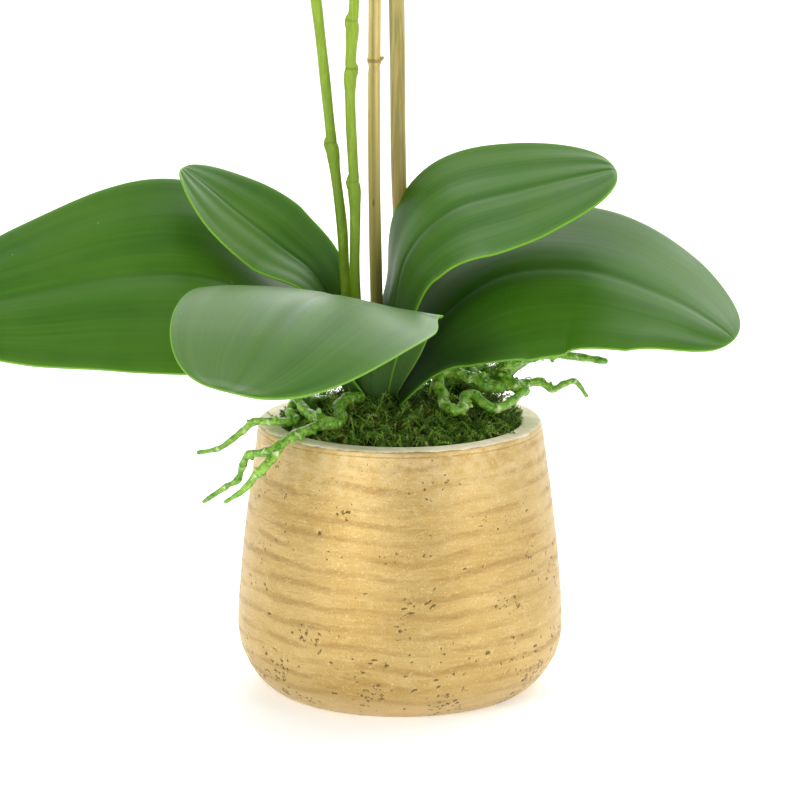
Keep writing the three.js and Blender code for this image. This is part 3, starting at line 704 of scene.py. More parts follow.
def spike_look():
    look = Look("spike_green", Specular_IOR_Level=0.35, **inner(0.1, (0.5, 0.8, 0.2)))
    spot = look.place()
    joint = look.split(look.vector("run"))[2]
    z = look.split(spot)[2]
    grooves = look.noise(spot, (1.1, 1.1, 0.05), detail=3, rough=0.55)
    mottle = look.noise(spot, (0.3, 0.3, 0.12), detail=4, rough=0.6)
    tint = look.mix(look.ramp(z, 170, 330), "#66860f", "#92b02c")
    tint = look.coats(tint,
        (grooves, 0.38, 0.62, 0.45, 0, "#67861c"),
        (mottle, 0.5, 0.72, 0, 0.4, "#9fb942"),
        (z, 500, 540, 0, 0.35, "#7f9a4c"))
    tint = look.mix(look.times(look.ramp(joint, 0.4, 0.95), 0.45), tint, "#55701a")
    surface = look.bump(mottle, 0.18, look.bump(grooves, 0.3))
    return look.finish(tint, mottle, 0.4, 0.52, surface)


def bamboo_look(name, pale, dark, foot):
    look = Look(name, Specular_IOR_Level=0.4)
    spot = look.place()
    joint = look.split(look.vector("run"))[2]
    z = look.split(spot)[2]
    fibre = look.noise(spot, (1.8, 1.8, 0.012), detail=4, rough=0.6)
    stripe = look.noise(spot, (0.55, 0.55, 0.004), detail=2, rough=0.5)
    patch = look.noise(spot, (0.12, 0.12, 0.03), detail=3)
    tint = look.mix(look.ramp(stripe, 0.4, 0.62), dark, pale)
    # lower down, below the leaves, the cane is darkened towards the foot colour: painted shade
    tint = look.coats(tint,
        (fibre, 0.35, 0.65, 0.35, 0, "#94834a"),
        (patch, 0.55, 0.75, 0, 0.5, "#c29a5a"),
        (z, 190, 290, 0.75, 0, foot))
    spots = look.ramp(look.cells(spot, (0.14, 0.14, 0.035)), 0.05, 0.11, 0.7, 0)
    tint = look.mix(spots, tint, "#5b4724")
    tint = look.mix(look.ramp(joint, 0.5, 0.9, 0, 0.7), tint, "#8f6f3a")
    surface = look.bump(fibre, 0.18, look.bump(stripe, 0.25))
    return look.finish(tint, fibre, 0.45, 0.62, surface)


def petal_look():
    """White petal: faint lengthwise veins, a green-yellow heart, a soft grain."""
    look = Look("petal_white", Specular_IOR_Level=0.35, **inner(0.2, (1.0, 0.9, 0.7), 0.0015),
                Sheen_Weight=0.15, Sheen_Roughness=0.5)
    where = look.vector("blade")
    _, y, margin = look.split(where)
    veins = look.noise(where, (0.55, 0.02, 0), detail=3, rough=0.6, warp=0.25)
    fine = look.noise(look.place(), 1.5, detail=3)
    tint = look.mix(look.ramp(veins, 0.5, 0.66, 0, 0.5), "#dcd9d0", "#c6c2b0")
    tint = look.coats(tint,
        (veins, 0.3, 0.42, 0.3, 0, "#e6e4dc"),
        (y, 2, 16, 0.7, 0, "#c4cb84"),
        (margin, 0.0, 1.6, 0.35, 0, "#e8e7e2"))
    surface = look.bump(fine, 0.05, look.bump(veins, 0.16))
    return look.finish(tint, fine, 0.5, 0.62, surface)


def lip_look():
    """The lip and column: yellow throat with fine red bars, white tips."""
    look = Look("lip_yellow", Specular_IOR_Level=0.4, **inner(0.15, (1.0, 0.8, 0.4)))
    part, reach = look.value("part"), look.value("reach")
    spot = look.place()
    bars = look.noise(spot, 0.9, detail=3, rough=0.6, warp=0.6)
    tint = look.mix(look.ramp(reach, 0.15, 0.75), "#dba82a", "#e6dcb8")
    tint = look.mix(look.times(look.ramp(bars, 0.52, 0.6), look.ramp(reach, 0.65, 0.2), 0.8), tint, "#a8483a")
    tint = look.mix(part, tint, "#dfdbd0")
    grain = look.noise(spot, 2.0, detail=2)
    return look.finish(tint, grain, 0.38, 0.52, look.bump(grain, 0.06))


def bud_look():
    look = Look("bud_green", Specular_IOR_Level=0.4, **inner(0.15, (1, 1, 0.6)))
    reach = look.value("reach")
    spot = look.place()
    mottle = look.noise(spot, 0.35, detail=4, rough=0.6)
    tint = look.mix(look.ramp(reach, 0.1, 0.9), "#8fa64c", "#c8cd98")
    tint = look.mix(look.ramp(mottle, 0.45, 0.7, 0, 0.45), tint, "#c3ce86")
    tint = look.mix(look.times(look.value("seam"), 0.6), tint, "#7f9a45")
    return look.finish(tint, mottle, 0.42, 0.55, look.bump(mottle, 0.12))


def crown_look():
    look = Look("crown_green", Specular_IOR_Level=0.4)
    spot = look.place()
    ribs = look.noise(spot, (0.8, 0.8, 0.03), detail=3)
    mottle = look.noise(spot, 0.2, detail=3)
    tint = look.mix(look.ramp(ribs, 0.35, 0.65), "#274a14", "#41701f")
    tint = look.mix(look.ramp(mottle, 0.5, 0.75, 0, 0.5), tint, "#5f8230")
    return look.finish(tint, mottle, 0.45, 0.6, look.bump(ribs, 0.4))


def clip_look():
    look = Look("clip_plastic", Specular_IOR_Level=0.5)
    spot = look.place()
    cloud = look.noise(spot, 0.15, detail=3)
    grain = look.noise(spot, 3.0, detail=2)
    tint = look.mix(look.ramp(cloud, 0.3, 0.7), "#5f8a2f", "#7aa445")
    return look.finish(tint, grain, 0.28, 0.4, look.bump(grain, 0.03))


def bark_look():
    look = Look("bark_fill", Specular_IOR_Level=0.3)
    spot = look.place()
    chips = look.cells(spot, (0.12, 0.12, 0.2), output="Color")
    edges = look.cells(spot, (0.12, 0.12, 0.2))
    grain = look.noise(spot, (0.7, 0.7, 2.0), detail=4, rough=0.65)
    tone = look.split(chips)[0]
    tint = look.mix(tone, "#3a2617", "#6b4a2c")
    tint = look.mix(look.ramp(grain, 0.35, 0.65, 0.5, 0), tint, "#24170d")
    return look.finish(tint, grain, 0.8, 0.95, look.bump(edges, 1.2, look.bump(grain, 0.4)))


# ---------- the pot ----------


def bezier(*controls, count=10):
    t = np.linspace(0, 1, count)[:, None]
    p = np.asarray(controls, float)
    while len(p) > 1:
        p = [(1 - t) * a + t * b for a, b in zip(p[:-1], p[1:])]
    return p[0]


def line(start, end, count):
    return np.stack([np.linspace(a, b, count) for a, b in zip(start, end)], -1)


def pot_rows():
    """The pot's half profile from its foot over the rim to the inside, and each row's way to the rim."""
    foot, bore, rim, top, edge = (POT[key] for key in ("foot", "bore", "rim", "height", "edge"))
    belly, belly_height, floor = POT["belly"], POT["belly_height"], POT["floor"]
    rows = [
        line([0.5, 0], [foot - 1.2, 0], 14),
        bezier([foot - 0.8, 0], [foot + 0.6, 0.1], [foot + 1.2, 0.9], count=5),
        bezier([foot + 1.2, 0.9], [foot + 6, 3.5], [belly, belly_height * 0.5], [belly, belly_height],
               count=34)[1:],
        bezier([belly, belly_height], [belly, belly_height + 23], [rim + 3.6, top - 30], [rim, top - edge],
               count=92)[1:],
        bezier([rim, top - edge], [rim, top], [rim - edge, top], count=9)[1:],
        line([rim - edge, top], [bore + edge, top], 12)[1:],
        bezier([bore + edge, top], [bore, top], [bore, top - edge], count=9)[1:],
        line([bore, top - edge], [POT["bore_foot"], floor], 30)[1:],
        line([POT["bore_foot"] - 3, floor], [0.5, floor], 10),
    ]
    rim_at = sum(len(r) for r in rows[:5]) - 5
    rows = np.concatenate(rows)
    run = np.concatenate([[0], np.cumsum(np.linalg.norm(np.diff(rows, axis=0), axis=1))])
    return rows, run[rim_at] - run


def pot_push(points):
    """Hand-cast unevenness: slow swells and level strokes up the wall, fading at the foot, and a lumpy rim.
    """
    z = points[..., 2]
    lively = smooth(z, 0.5, 8) * smooth(z, POT["height"] + 1, POT["height"] - 5)
    swell = (0.4 * lumps(points, (60, 60, 40), 1) + 0.16 * lumps(points, (26, 26, 8), 2)
             + 0.1 * lumps(points, (8, 8, 3), 3))
    top = 0.16 * lumps(points, (14, 14, 14), 4)
    return swell * lively + top * smooth(z, POT["height"] - 6, POT["height"])


def pot_pits(points, own):
    """How deep in a cast pit each point of the outer wall is, from 0 to 1, and the depth in millimetres."""
    angle, z = np.arctan2(points[..., 1], points[..., 0]), points[..., 2]
    wall = (np.hypot(points[..., 0], points[..., 1]) > POT["bore"] + 3) & (z > 1.5) & (z < POT["height"] - 4)
    ragged = 0.55 * lumps(points, 1.6, 8)
    share, depth = np.zeros(angle.shape), np.zeros(angle.shape)
    clusters = [(own.uniform(-np.pi, np.pi), own.uniform(14, 62), own.uniform(5, 13))
                for _ in range(PIT_CLUSTERS)]
    for k in range(PITS):
        if k % 5 < 3:
            a, h, spread = clusters[own.integers(len(clusters))]
            a, h = a + own.normal(0, spread / 68), h + own.normal(0, spread * 0.5)
        else:
            a, h = own.uniform(-np.pi, np.pi), 5 + 100 * own.uniform(0, 1) ** 1.9
        long, tall = 0.55 + 1.5 * own.uniform(0, 1) ** 2, own.uniform(0.45, 0.85)
        away = np.hypot(np.angle(np.exp(1j * (angle - a))) * 70 / long, (z - h) / tall) + ragged
        pit = np.where(wall, smooth(away, 1.35, 0.35), 0)
        share = np.maximum(share, pit)
        depth = np.maximum(depth, pit * own.uniform(0.5, 1.2) * min(tall, 1))
    return share, depth


rows, rim_run = pot_rows()
pot = turned(Shape(), rows, POT_SIDES, push=pot_push, rim=rim_run)
share, depth = pot_pits(pot.verts[0], np.random.default_rng(5))
inward = -unit(pot.verts[0] * [1, 1, 0])
pot.verts[0] = pot.verts[0] + inward * depth[:, None]
pot.values["pit"] = [share]
piece("pot_body", pot, pot_look(), "pot_shell", "pot")

# ---------- leaves ----------

# One leaf material at three gloss levels, set so that each leaf's sheen looks right in this light.
LEAF_LOOKS = {tone: leaf_look(f"leaf_green_{tone}", shine)
              for tone, shine in (("satin", 0.2), ("soft", 0.36), ("glossy", 0.55))}
LEAF_TONES = {"leaf_right_upper": "satin", "leaf_front": "glossy"}


def leaf_ripple(seed):
    """Soft lengthwise swells that fade towards the base, and a slow wave in the margins."""
    own = np.random.default_rng(100 + seed)
    waves = [(own.uniform(0.8, 2.6), own.uniform(0, 6.28), own.uniform(-1.6, 1.6), own.uniform(0.25, 0.55))
             for _ in range(5)]
    edge_phase = own.uniform(0, 6.28, 2)

    def ripple(t, v):
        body = sum(a * np.cos(2 * np.pi * f * v + p + g * np.pi * t) for f, p, g, a in waves)
        body = body * smooth(t, 0.05, 0.4)
        margin = np.where(v > 0, np.sin(9 * t + edge_phase[0]), np.sin(8 * t + edge_phase[1]))
        groove = -0.7 * bell(v, 0.05) * (1 - 0.7 * t)
        sway = 1.3 * np.sin(10 * t + 0.9 * v + edge_phase[0]) * smooth(t, 0.2, 0.5)
        return 0.17 * body * (1 - 0.35 * v**2) + sway + 0.5 * margin * np.abs(v) ** 3 + groove

    return ripple


for name, spec in LEAVES.items():
    shape = blade(Shape(), spec, *LEAF_GRID, *LEAF_THICKNESS, leaf_ripple(spec["seed"]))
    piece(name.replace("leaf_", "foliage_"), shape, LEAF_LOOKS[LEAF_TONES.get(name, "soft")], "leaf", name)

# ---------- crown ----------


def crown_push(points):
    angle = np.arctan2(points[..., 1], points[..., 0])
    ribs = 0.5 * np.sin(5 * angle + points[..., 2] * 0.05)
    return (ribs + 0.4 * lumps(points, 6, 5)) * smooth(points[..., 2], 140, 130)


crown_rows = np.array([[0.4, 90], [10, 90], [11, 100], [11.5, 112], [11.5, 122], [10.5, 128], [9, 133],
                       [7, 137], [5, 140], [2.5, 141], [0.4, 141.3]])
crown_run = np.linspace(0, 1, len(crown_rows))
crown_rows = np.stack([np.interp(np.linspace(0, 1, 40), crown_run, crown_rows[:, k]) for k in (0, 1)], -1)
crown = turned(Shape(), crown_rows, 48, (CROWN["x"], CROWN["y"]), push=crown_push)
piece("crown_sheath", crown, crown_look(), "crown", "crown")

# ---------- spikes, blooms and buds ----------

LOOK_WAY = np.array([0.0, -1.0, -0.12])  # the way most blooms face
SEPAL = dict(width=29, widest=0.55, foot=0.3, blunt=2)
PETAL = dict(width=50, widest=0.52, foot=0.16, blunt=2.4)


def lobe_spec(angle, length, form, rise, section):
    out = np.array([math.sin(angle), math.cos(angle)])
    side = [math.cos(angle), -math.sin(angle), 0]
    shares = [2 / length, 0.33, 0.67, 1]
    midrib = [[*(out * length * s), z] for s, z in zip(shares, rise)]
    return dict(form, midrib=midrib, across=[side] * 3, section=section)


def ruffle(own, most, beats):
    phase = own.uniform(0, 6.28, 3)

    def ripple(t, v):
        edge = np.abs(v) ** 2.5 * smooth(t, 0.1, 0.6)
        wave = np.sin(beats * np.pi * t + np.where(v > 0, phase[0], phase[1]))
        wave = wave + 0.5 * np.sin(2.3 * beats * np.pi * t + phase[2])
        ribs = 0.14 * np.cos(9 * v + phase[2])
        return most * wave * edge + ribs

    return ripple


def tepals(own):
    """Three sepals behind two broad petals, facing +Z with the top sepal along +Y."""
    shape = Shape()
    for angle, length in ((0, 40), (2 * math.pi / 3, 38), (-2 * math.pi / 3, 38)):
        spec = lobe_spec(angle + own.uniform(-0.05, 0.05), length, SEPAL,
                         [-1.1, -1.2, -2 - own.uniform(0, 1.2), -5 - own.uniform(0, 2)],
                         [[0, 0, 0], [0, -0.06, 0], [0, -0.12, 0]])
        blade(shape, spec, 34, 16, 1.0, 0.5, ruffle(own, 0.35, 2))
    for turn in (1.42, -1.42):
        spec = lobe_spec(turn + own.uniform(-0.04, 0.04), 42, PETAL,
                         [1.2, 1.9 + own.uniform(0, 0.6), 2.8, 0.4 - own.uniform(0, 2)],
                         [[0, 0, 0], [0, 0.06, 0], [0, -0.04, 0]])
        blade(shape, spec, 38, 26, 0.95, 0.45, ruffle(own, 0.9, 3))
    core = turned(Shape(), [[0.3, -2], [3, -2.1], [4.2, -1.6], [4.4, -0.4], [4.0, 0.8], [3.4, 1.8],
                            [2.0, 2.3], [0.3, 2.4]], 24)
    return shape.take(core, blade=np.tile([0.0, 0.0, 5.0], (core.count, 1)), face=1)


def labellum():
    """The column, the three-lobed lip with its callus, and two tendrils."""
    shape = Shape()

    def lobed(spec, steps, columns, part, ripple=None):
        own = blade(Shape(), spec, steps, columns, 0.9, 0.5, ripple)
        far = own.values["blade"][0][:, 1]
        shape.take(own, part=part, reach=far / far.max())

    def rod(points, radius_at, part, reach):
        shape.take(tube(Shape(), points, radius_at, sides=14, step=0.6), part=part, reach=reach)

    rod([[0, 0, 2.6], [0, 1.4, 6], [0, 1.8, 9], [0, 0.6, 11.4]],
        lambda s: 2.1 + 0.5 * np.sin(np.pi * s) + 0.25 * smooth(s, 0.7, 1), 1.0, 1.0)
    rod([[-1.7, -0.6, 12.1], [0, -0.9, 12.5], [1.7, -0.6, 12.1]],
        lambda s: 1.0 + 0.3 * np.sin(np.pi * s), 0.85, 1.0)
    lobed(dict(midrib=[[0, -1, 4.6], [0, -7, 9.5], [0, -14, 12], [0, -21, 10]], across=[[1, 0, 0]] * 3,
               section=[[26, 0, 0], [14, 0.1, 0], [4, 0.2, 0]], width=12.5, widest=0.52, foot=0.5, blunt=1.3),
          30, 16, 0.0, lambda t, v: 0.4 * np.abs(v) ** 2 * np.sin(8 * t))
    for side in (1, -1):
        lobed(dict(midrib=[[side * 1.5, -1, 5.2], [side * 6, -2, 8], [side * 9, 1, 12], [side * 9, 6, 14]],
                   across=[[0, 0.3, 1], [0, 0.2, 1], [0, 0, 1]],
                   section=[[0, 0.1, 0], [0, 0.2, 0], [0, 0.2, 0]],
                   width=9.5, widest=0.55, foot=0.5, blunt=2), 24, 12, 0.0)
        rod([[side * 0.6, -20.2, 10.4], [side * 2.2, -22.6, 10.4], [side * 4.6, -22.4, 12.2],
             [side * 5.2, -20.2, 14]], lambda s: 0.5 - 0.32 * s, 0.3, 1.0)
        rod([[side * 0.9, -2.6, 7.2], [side * 1.5, -4.4, 9.4], [side * 1.0, -5.2, 10.6]],
            lambda s: 1.25 - 0.5 * s, 0.0, 0.0)
    rod([[0, -0.4, 2.9], [0, -0.7, 4.4], [0, -1.0, 6.0]], lambda s: 2.7 - 0.3 * s, 0.3, 0.3)
    return shape


def moved(shape, basis, centre, size):
    """The same shape, scaled, turned into basis (rows: right, up, facing) and moved to centre."""
    copy = Shape()
    copy.verts = [(v * size) @ basis + centre for v in shape.verts]
    copy.quads, copy.tris, copy.values, copy.count = shape.quads, shape.tris, shape.values, shape.count
    return copy


def pose_on(path, share, side, stand_off, sideways):
    """A place beside a spike and in front of it, and the frame of a flower there."""
    stem, along, _ = even(path, [share])
    across = unit(np.cross(along[0], LOOK_WAY)) * side
    facing = unit(LOOK_WAY + 0.22 * across)
    right = unit(np.cross([0, 0, 1], facing))
    centre = stem[0] + across * sideways + facing * stand_off
    return stem[0], across, facing, centre, np.array([right, np.cross(facing, right), facing])


def pedicel(shape, stem, across, facing, end, radius):
    reach = np.linalg.norm(end - stem)
    first = stem + across * reach * 0.35 + facing * reach * 0.12
    second = end - facing * reach * 0.3
    tube(shape, [stem, first, second, end],
         lambda s: radius * (1.25 - 0.35 * np.sin(np.pi * s) + 0.25 * s**4), sides=14, step=1.0)


def bract(shape, path, share, side, radius):
    """The small pointed sheath at a joint of the spike."""
    stem, along, _ = even(path, [share])
    across = unit(np.cross(along[0], LOOK_WAY)) * side
    base = stem[0] - along[0] * 3 + across * radius * 0.5
    tip = stem[0] + along[0] * 4.5 + across * (radius + 0.5)
    tube(shape, [base, stem[0] + across * (radius * 0.72), (stem[0] + tip) / 2 + across * radius * 0.45, tip],
         lambda s: 0.35 + 1.35 * np.sin(np.pi * np.clip(s, 0, 1) ** 0.8), sides=14, step=0.8)


def bud(radius):
    """A bud along Z with three creases."""
    angles, rings, reach = circle(36), [], np.linspace(0.02, 0.985, 26)
    crease = bell(np.cos(1.5 * angles), 0.22)
    for s in reach:
        wide = radius * math.sin(math.pi * s**0.85) ** 0.72 * (1.04 - 0.22 * s)
        rings.append(ring(wide * (1 - 0.09 * crease), angles, radius * (-1 + 2.7 * s)))
    reach, seam = np.broadcast_arrays(reach[:, None], crease)
    return Shape().loft(rings, reach=reach, seam=seam)


def spike_values(mesh, spec):
    """How far along the stem each point is, and how near to a joint."""
    count = 900
    centre, _, length = even(spec["path"], np.linspace(0, 1, count))
    share = nearest(centre, points_of(mesh))[0] / (count - 1)
    joint = sum(np.exp(-(((share - at) * length - 4.6) ** 2) / 0.5) for at in spec["nodes"])
    set_values(mesh, "run", np.stack([share * length, np.zeros_like(share), np.clip(joint, 0, 1)], -1))


SPIKE_LOOK, PETAL_LOOK, LIP_LOOK, BUD_LOOK = spike_look(), petal_look(), lip_look(), bud_look()
LABELLUM = labellum()

for spike, spec in SPIKES.items():
    suffix = spike.split("_")[-1]
    stems = Shape()
    start, middle, end = spec["radius"]
    length = even(spec["path"], [0, 1])[2]

    def stem_radius(s):
        swell = sum(0.6 * bell((s - at) * length, 5.0) - 0.4 * bell((s - at) * length - 4.6, 0.9)
                    for at in spec["nodes"])
        along = np.interp(s, [0, 0.35, 0.52, 1], [start, start * 0.97, middle, end])
        return along + swell + 0.07 * np.sin(s * 90)

    tube(stems, spec["path"], stem_radius, sides=28, step=0.8)
    for i, at in enumerate(spec["nodes"]):
        bract(stems, spec["path"], at + 0.004, 1 if i % 2 else -1, stem_radius(np.array([at]))[0] * 0.8)
    for i, (share, side, stand_off, size) in enumerate(spec["blooms"], 1):
        own = np.random.default_rng(1000 + 10 * i + len(suffix))
        stem, across, facing, centre, basis = pose_on(spec["path"], share, side, stand_off, 22)
        pedicel(stems, stem, across, facing, centre - facing * (2 * size + 0.35), 1.3)
        bract(stems, spec["path"], share - 0.006, side, 1.6)
        tag = f"bloom_{suffix}_{i}"
        piece(tag + "_tepals", moved(tepals(own), basis, centre, size), PETAL_LOOK, "petal", tag + "_sepals",
              tag + "_petals")
        piece(tag + "_labellum", moved(LABELLUM, basis, centre, size), LIP_LOOK, "lip", tag + "_lip")
    for i, (share, side, radius) in enumerate(spec["buds"], 1):
        stem, across, facing, centre, basis = pose_on(spec["path"], share, side, 5, 12)
        pedicel(stems, stem, across, facing, centre - facing * (radius + 0.35), 1.1)
        tag = f"bud_{suffix}_{i}"
        piece(tag + "_skin", moved(bud(radius), basis, centre, 1), BUD_LOOK, "bud", tag)
    mesh = fused(spike, stems, 0.5)
    spike_values(mesh, spec)
    piece(spike.replace("flower_spike", "flower_stem"), mesh, SPIKE_LOOK, "spike", spike)

# ---------- stakes and clip ----------

# the last colour of each is the painted shade low on the cane
STAKE_LOOKS = {
    "bamboo_stake_front": bamboo_look("bamboo_tan", "#eed88a", "#cbb466", "#9c9046"),
    "bamboo_stake_back": bamboo_look("bamboo_olive", "#bcae68", "#928a4a", "#a3904e"),
}
for i, (name, spec) in enumerate(STAKES.items()):
    foot, top = np.array(spec["foot"], float), np.array(spec["top"], float)
    bend = np.array([[0.0, 0, 0], [0.5, 0.2, 0], [-0.6, 0.1, 0], [0.4, -0.2, 0], [0.0, 0, 0]]) * (1 + i)
    path = [foot + (top - foot) * s + b for s, b in zip(np.linspace(0, 1, 5), bend)]
    length = np.linalg.norm(top - foot)

    def stake_radius(s):
        joint = sum(0.5 * bell((s - at) * length, 1.6) - 0.3 * bell((s - at) * length + 3.4, 1.3)
                    for at in spec["joints"])
        return spec["radius"] + joint + 0.05 * np.sin(s * 37)

    stake = tube(Shape(), path, stake_radius, sides=40, step=0.9)
    run = stake.values["run"][0]
    joint = sum(bell(run[:, 0] - at * length, 1.5) for at in spec["joints"])
    flutes = 0.07 * np.cos(run[:, 1] * 7 + 0.4 * np.sin(run[:, 0] * 0.02)) + 0.05 * np.cos(run[:, 1] * 3)
    centre_line = even(path, np.clip(run[:, 0] / length, 0, 1))[0]
    outward = unit(stake.verts[0] - centre_line)
    stake.verts[0] = stake.verts[0] + outward * flutes[:, None]
    stake.values["run"] = [np.stack([run[:, 0], run[:, 1], np.clip(joint, 0, 1)], -1)]
    if i == 0:  # a cut side shoot stands out at the middle joint
        at = foot + (top - foot) * spec["joints"][1]
        shoot = tube(Shape(), [at + [0.8, -0.6, -0.6], at + [2.4, -1.0, 0.4], at + [3.5, -1.2, 1.2]],
                     lambda s: 1.25 - 0.5 * s, sides=16, step=0.4)
        stake.take(shoot, run=np.tile([0.0, 0.0, 0.8], (shoot.count, 1)))
    piece(name.replace("bamboo_stake", "bamboo_cane"), stake, STAKE_LOOKS[name], "bamboo", name)


def clip_shape():
    """Two bands round the right spike and the front stake, joined by a peg between them."""
    stake, stem = STAKES["bamboo_stake_front"], SPIKES["flower_spike_right"]
    share = (CLIP["height"] - stake["foot"][2]) / (stake["top"][2] - stake["foot"][2])
    on_stake = np.array(stake["foot"]) * (1 - share) + np.array(stake["top"]) * share
    line = even(stem["path"], np.linspace(0, 1, 500))[0]
    on_stem = line[np.abs(line[:, 2] - CLIP["height"]).argmin()]
    start, end = on_stake[:2], on_stem[:2]
    bearing = math.atan2(*(end - start)[::-1])
    shape = Shape()
    for low, high in ((-0.5, -0.14), (0.14, 0.5)):
        rings = []
        for s in np.linspace(0, 1, 9):
            inset = 0.55 * (1 - math.sqrt(max(1 - (2 * s - 1) ** 6, 0)))
            z = CLIP["height"] + CLIP["tall"] * (low + (high - low) * s)
            first = bearing + np.linspace(math.pi / 2, 1.5 * math.pi, 24)
            second = bearing + np.linspace(-math.pi / 2, math.pi / 2, 24)
            rings.append(np.concatenate([[*start, 0] + ring(2.95 + CLIP["wall"] - inset, first, z),
                                         [*end, 0] + ring(2.9 + CLIP["wall"] - inset, second, z)]))
        shape.loft(np.array(rings))
    middle = (start + end) / 2
    tube(shape, [[*middle, CLIP["height"] - 2.6], [*(middle + [0, -0.4]), CLIP["height"]],
                 [*middle, CLIP["height"] + 2.6]], lambda s: 2.3 + 0 * s, sides=18, step=0.5)
    shape.values = {}
    return shape


piece("stem_clip_body", fused("stem_clip_body", clip_shape(), 0.3), clip_look(), "clip", "stem_clip")

# ---------- aerial roots ----------

ROOT_LOOK = root_look()


def root_mesh(name, prongs, seed, thick):
    """Knotted prongs with stubs of side roots, grown together and roughened."""
    shape, centres, rings, tips = Shape(), [], [], []
    for j, (points, start, end) in enumerate(prongs):
        length = even(points, [0, 1])[2]
        dense = np.linspace(0, 1, 400)
        centre = even(points, dense)[0]
        knots = [np.linalg.norm(centre - np.array(p), axis=1).argmin() / 399 for p in points[1:-1]]
        own = np.random.default_rng(50 + seed * 7 + j)
        knots = [k + own.uniform(-0.6, 0.6) / length for k in knots]

        def radius_at(s, knots=knots, length=length, start=start, end=end, phase=own.uniform(0, 6)):
            swell = 0.16 * sum(bell((s - k) * length, 1.5) for k in knots)
            return thick * (start + (end - start) * s**1.5) * (
                1 + swell + 0.07 * np.sin(s * length * 0.9 + phase))

        tube(shape, points, radius_at, sides=20, step=0.7)
        for _ in range(int(length / 9)):  # stubs of broken side roots
            s = own.uniform(0.05, 0.8)
            spot, along, _ = even(points, [s])
            out = unit(np.cross(along[0], own.normal(0, 1, 3)))
            r = radius_at(np.array([s]))[0]
            tube(shape, [spot[0], spot[0] + out * r * 0.8, spot[0] + out * (r + own.uniform(0.2, 1.1))],
                 lambda s, r=r: r * (0.62 - 0.2 * s), sides=12, step=0.5)
        centres.append(centre)
        near = np.min([np.abs(dense - k) * length for k in knots[::2] or knots], axis=0)
        rings.append(bell(near, 0.8))
        tips.append(dense)
    shape.values = {}
    mesh = fused(name, shape, 0.4, 1)
    centres, rings, tips = np.concatenate(centres), np.concatenate(rings), np.concatenate(tips)
    points = points_of(mesh)
    at = nearest(centres, points)[0]
    outward = unit(points - centres[at])
    rough = 0.42 * lumps(points, 3.0, seed) + 0.16 * lumps(points, 1.2, seed + 3)
    points = points + outward * (rough * (0.35 + 0.65 * (1 - tips[at])))[:, None]
    mesh.vertices.foreach_set("co", (points * MM).ravel())
    mesh.update()
    set_values(mesh, "ring", rings[at])
    set_values(mesh, "tip", tips[at])
    return mesh


# Short prongs that knot the right-hand roots together.
KNOTS = [
    [[[36, 8, 143], [42, 4, 141.5], [48, -1, 139], [53, -4, 137.5], [56, -5, 136]], 2.7, 2.0],
    [[[30, 3, 144], [35, -2, 141.5], [40, -6, 139], [45, -7, 138]], 2.2, 1.9],
    [[[41, 2, 140], [46, 4, 145], [52, 3, 150], [59, 2, 155], [64, 2, 158.5]], 2.1, 1.3],
]
ROOTS["aerial_roots_right_front"] += KNOTS

for seed, (name, prongs) in enumerate(ROOTS.items()):
    thick = 1.28 if name == "aerial_roots_right_front" else 1.1
    mesh = root_mesh(name, prongs, seed, thick)
    piece(name.replace("aerial_root", "air_root"), mesh, ROOT_LOOK, "root", name)

# ---------- moss ----------

MOSS_LOOK = moss_look()


def moss_height(x, y):
    """A dome over the fill with two mounds under the roots, and lumps."""
    r = np.hypot(x, y) / (POT["bore"] - 1.0)
    edge = MOSS_EDGE + 2.2
    spot = np.stack([x, y, np.zeros_like(x)], -1)
    return (edge + (MOSS_CROWN - edge) * (1 - np.clip(r, 0, 1) ** 2.2)
            + 13 * np.exp(-((x - 27) / 17) ** 2 - ((y - 19) / 13) ** 2)
            + 4 * np.exp(-((x + 30) / 15) ** 2 - ((y + 4) / 22) ** 2)
            + 1.3 * lumps(spot, 11, 6) + 0.7 * lumps(spot, 4.5, 7))


def moss_cushion():
    turn, rings, lift = circle(150), [], []
    # lift is 0 at the fill and low on the dome; the moss look paints shade where it is low
    for share in (0.02, 0.3, 0.6, 0.9, 1.0):
        rings.append(ring((POT["bore"] - 1.1) * share, turn, FILL_TOP + 0.4))
        lift.append(0.0)
    for share in np.linspace(1, 0.01, 46):
        r = (POT["bore"] - 0.9) * share
        rings.append(ring(r, turn, moss_height(r * np.cos(turn), r * np.sin(turn))))
        lift.append(0.12)
    lift = np.broadcast_to(np.array(lift)[:, None], (len(rings), len(turn)))
    return Shape().loft(rings, lift=lift, tone=0.4)


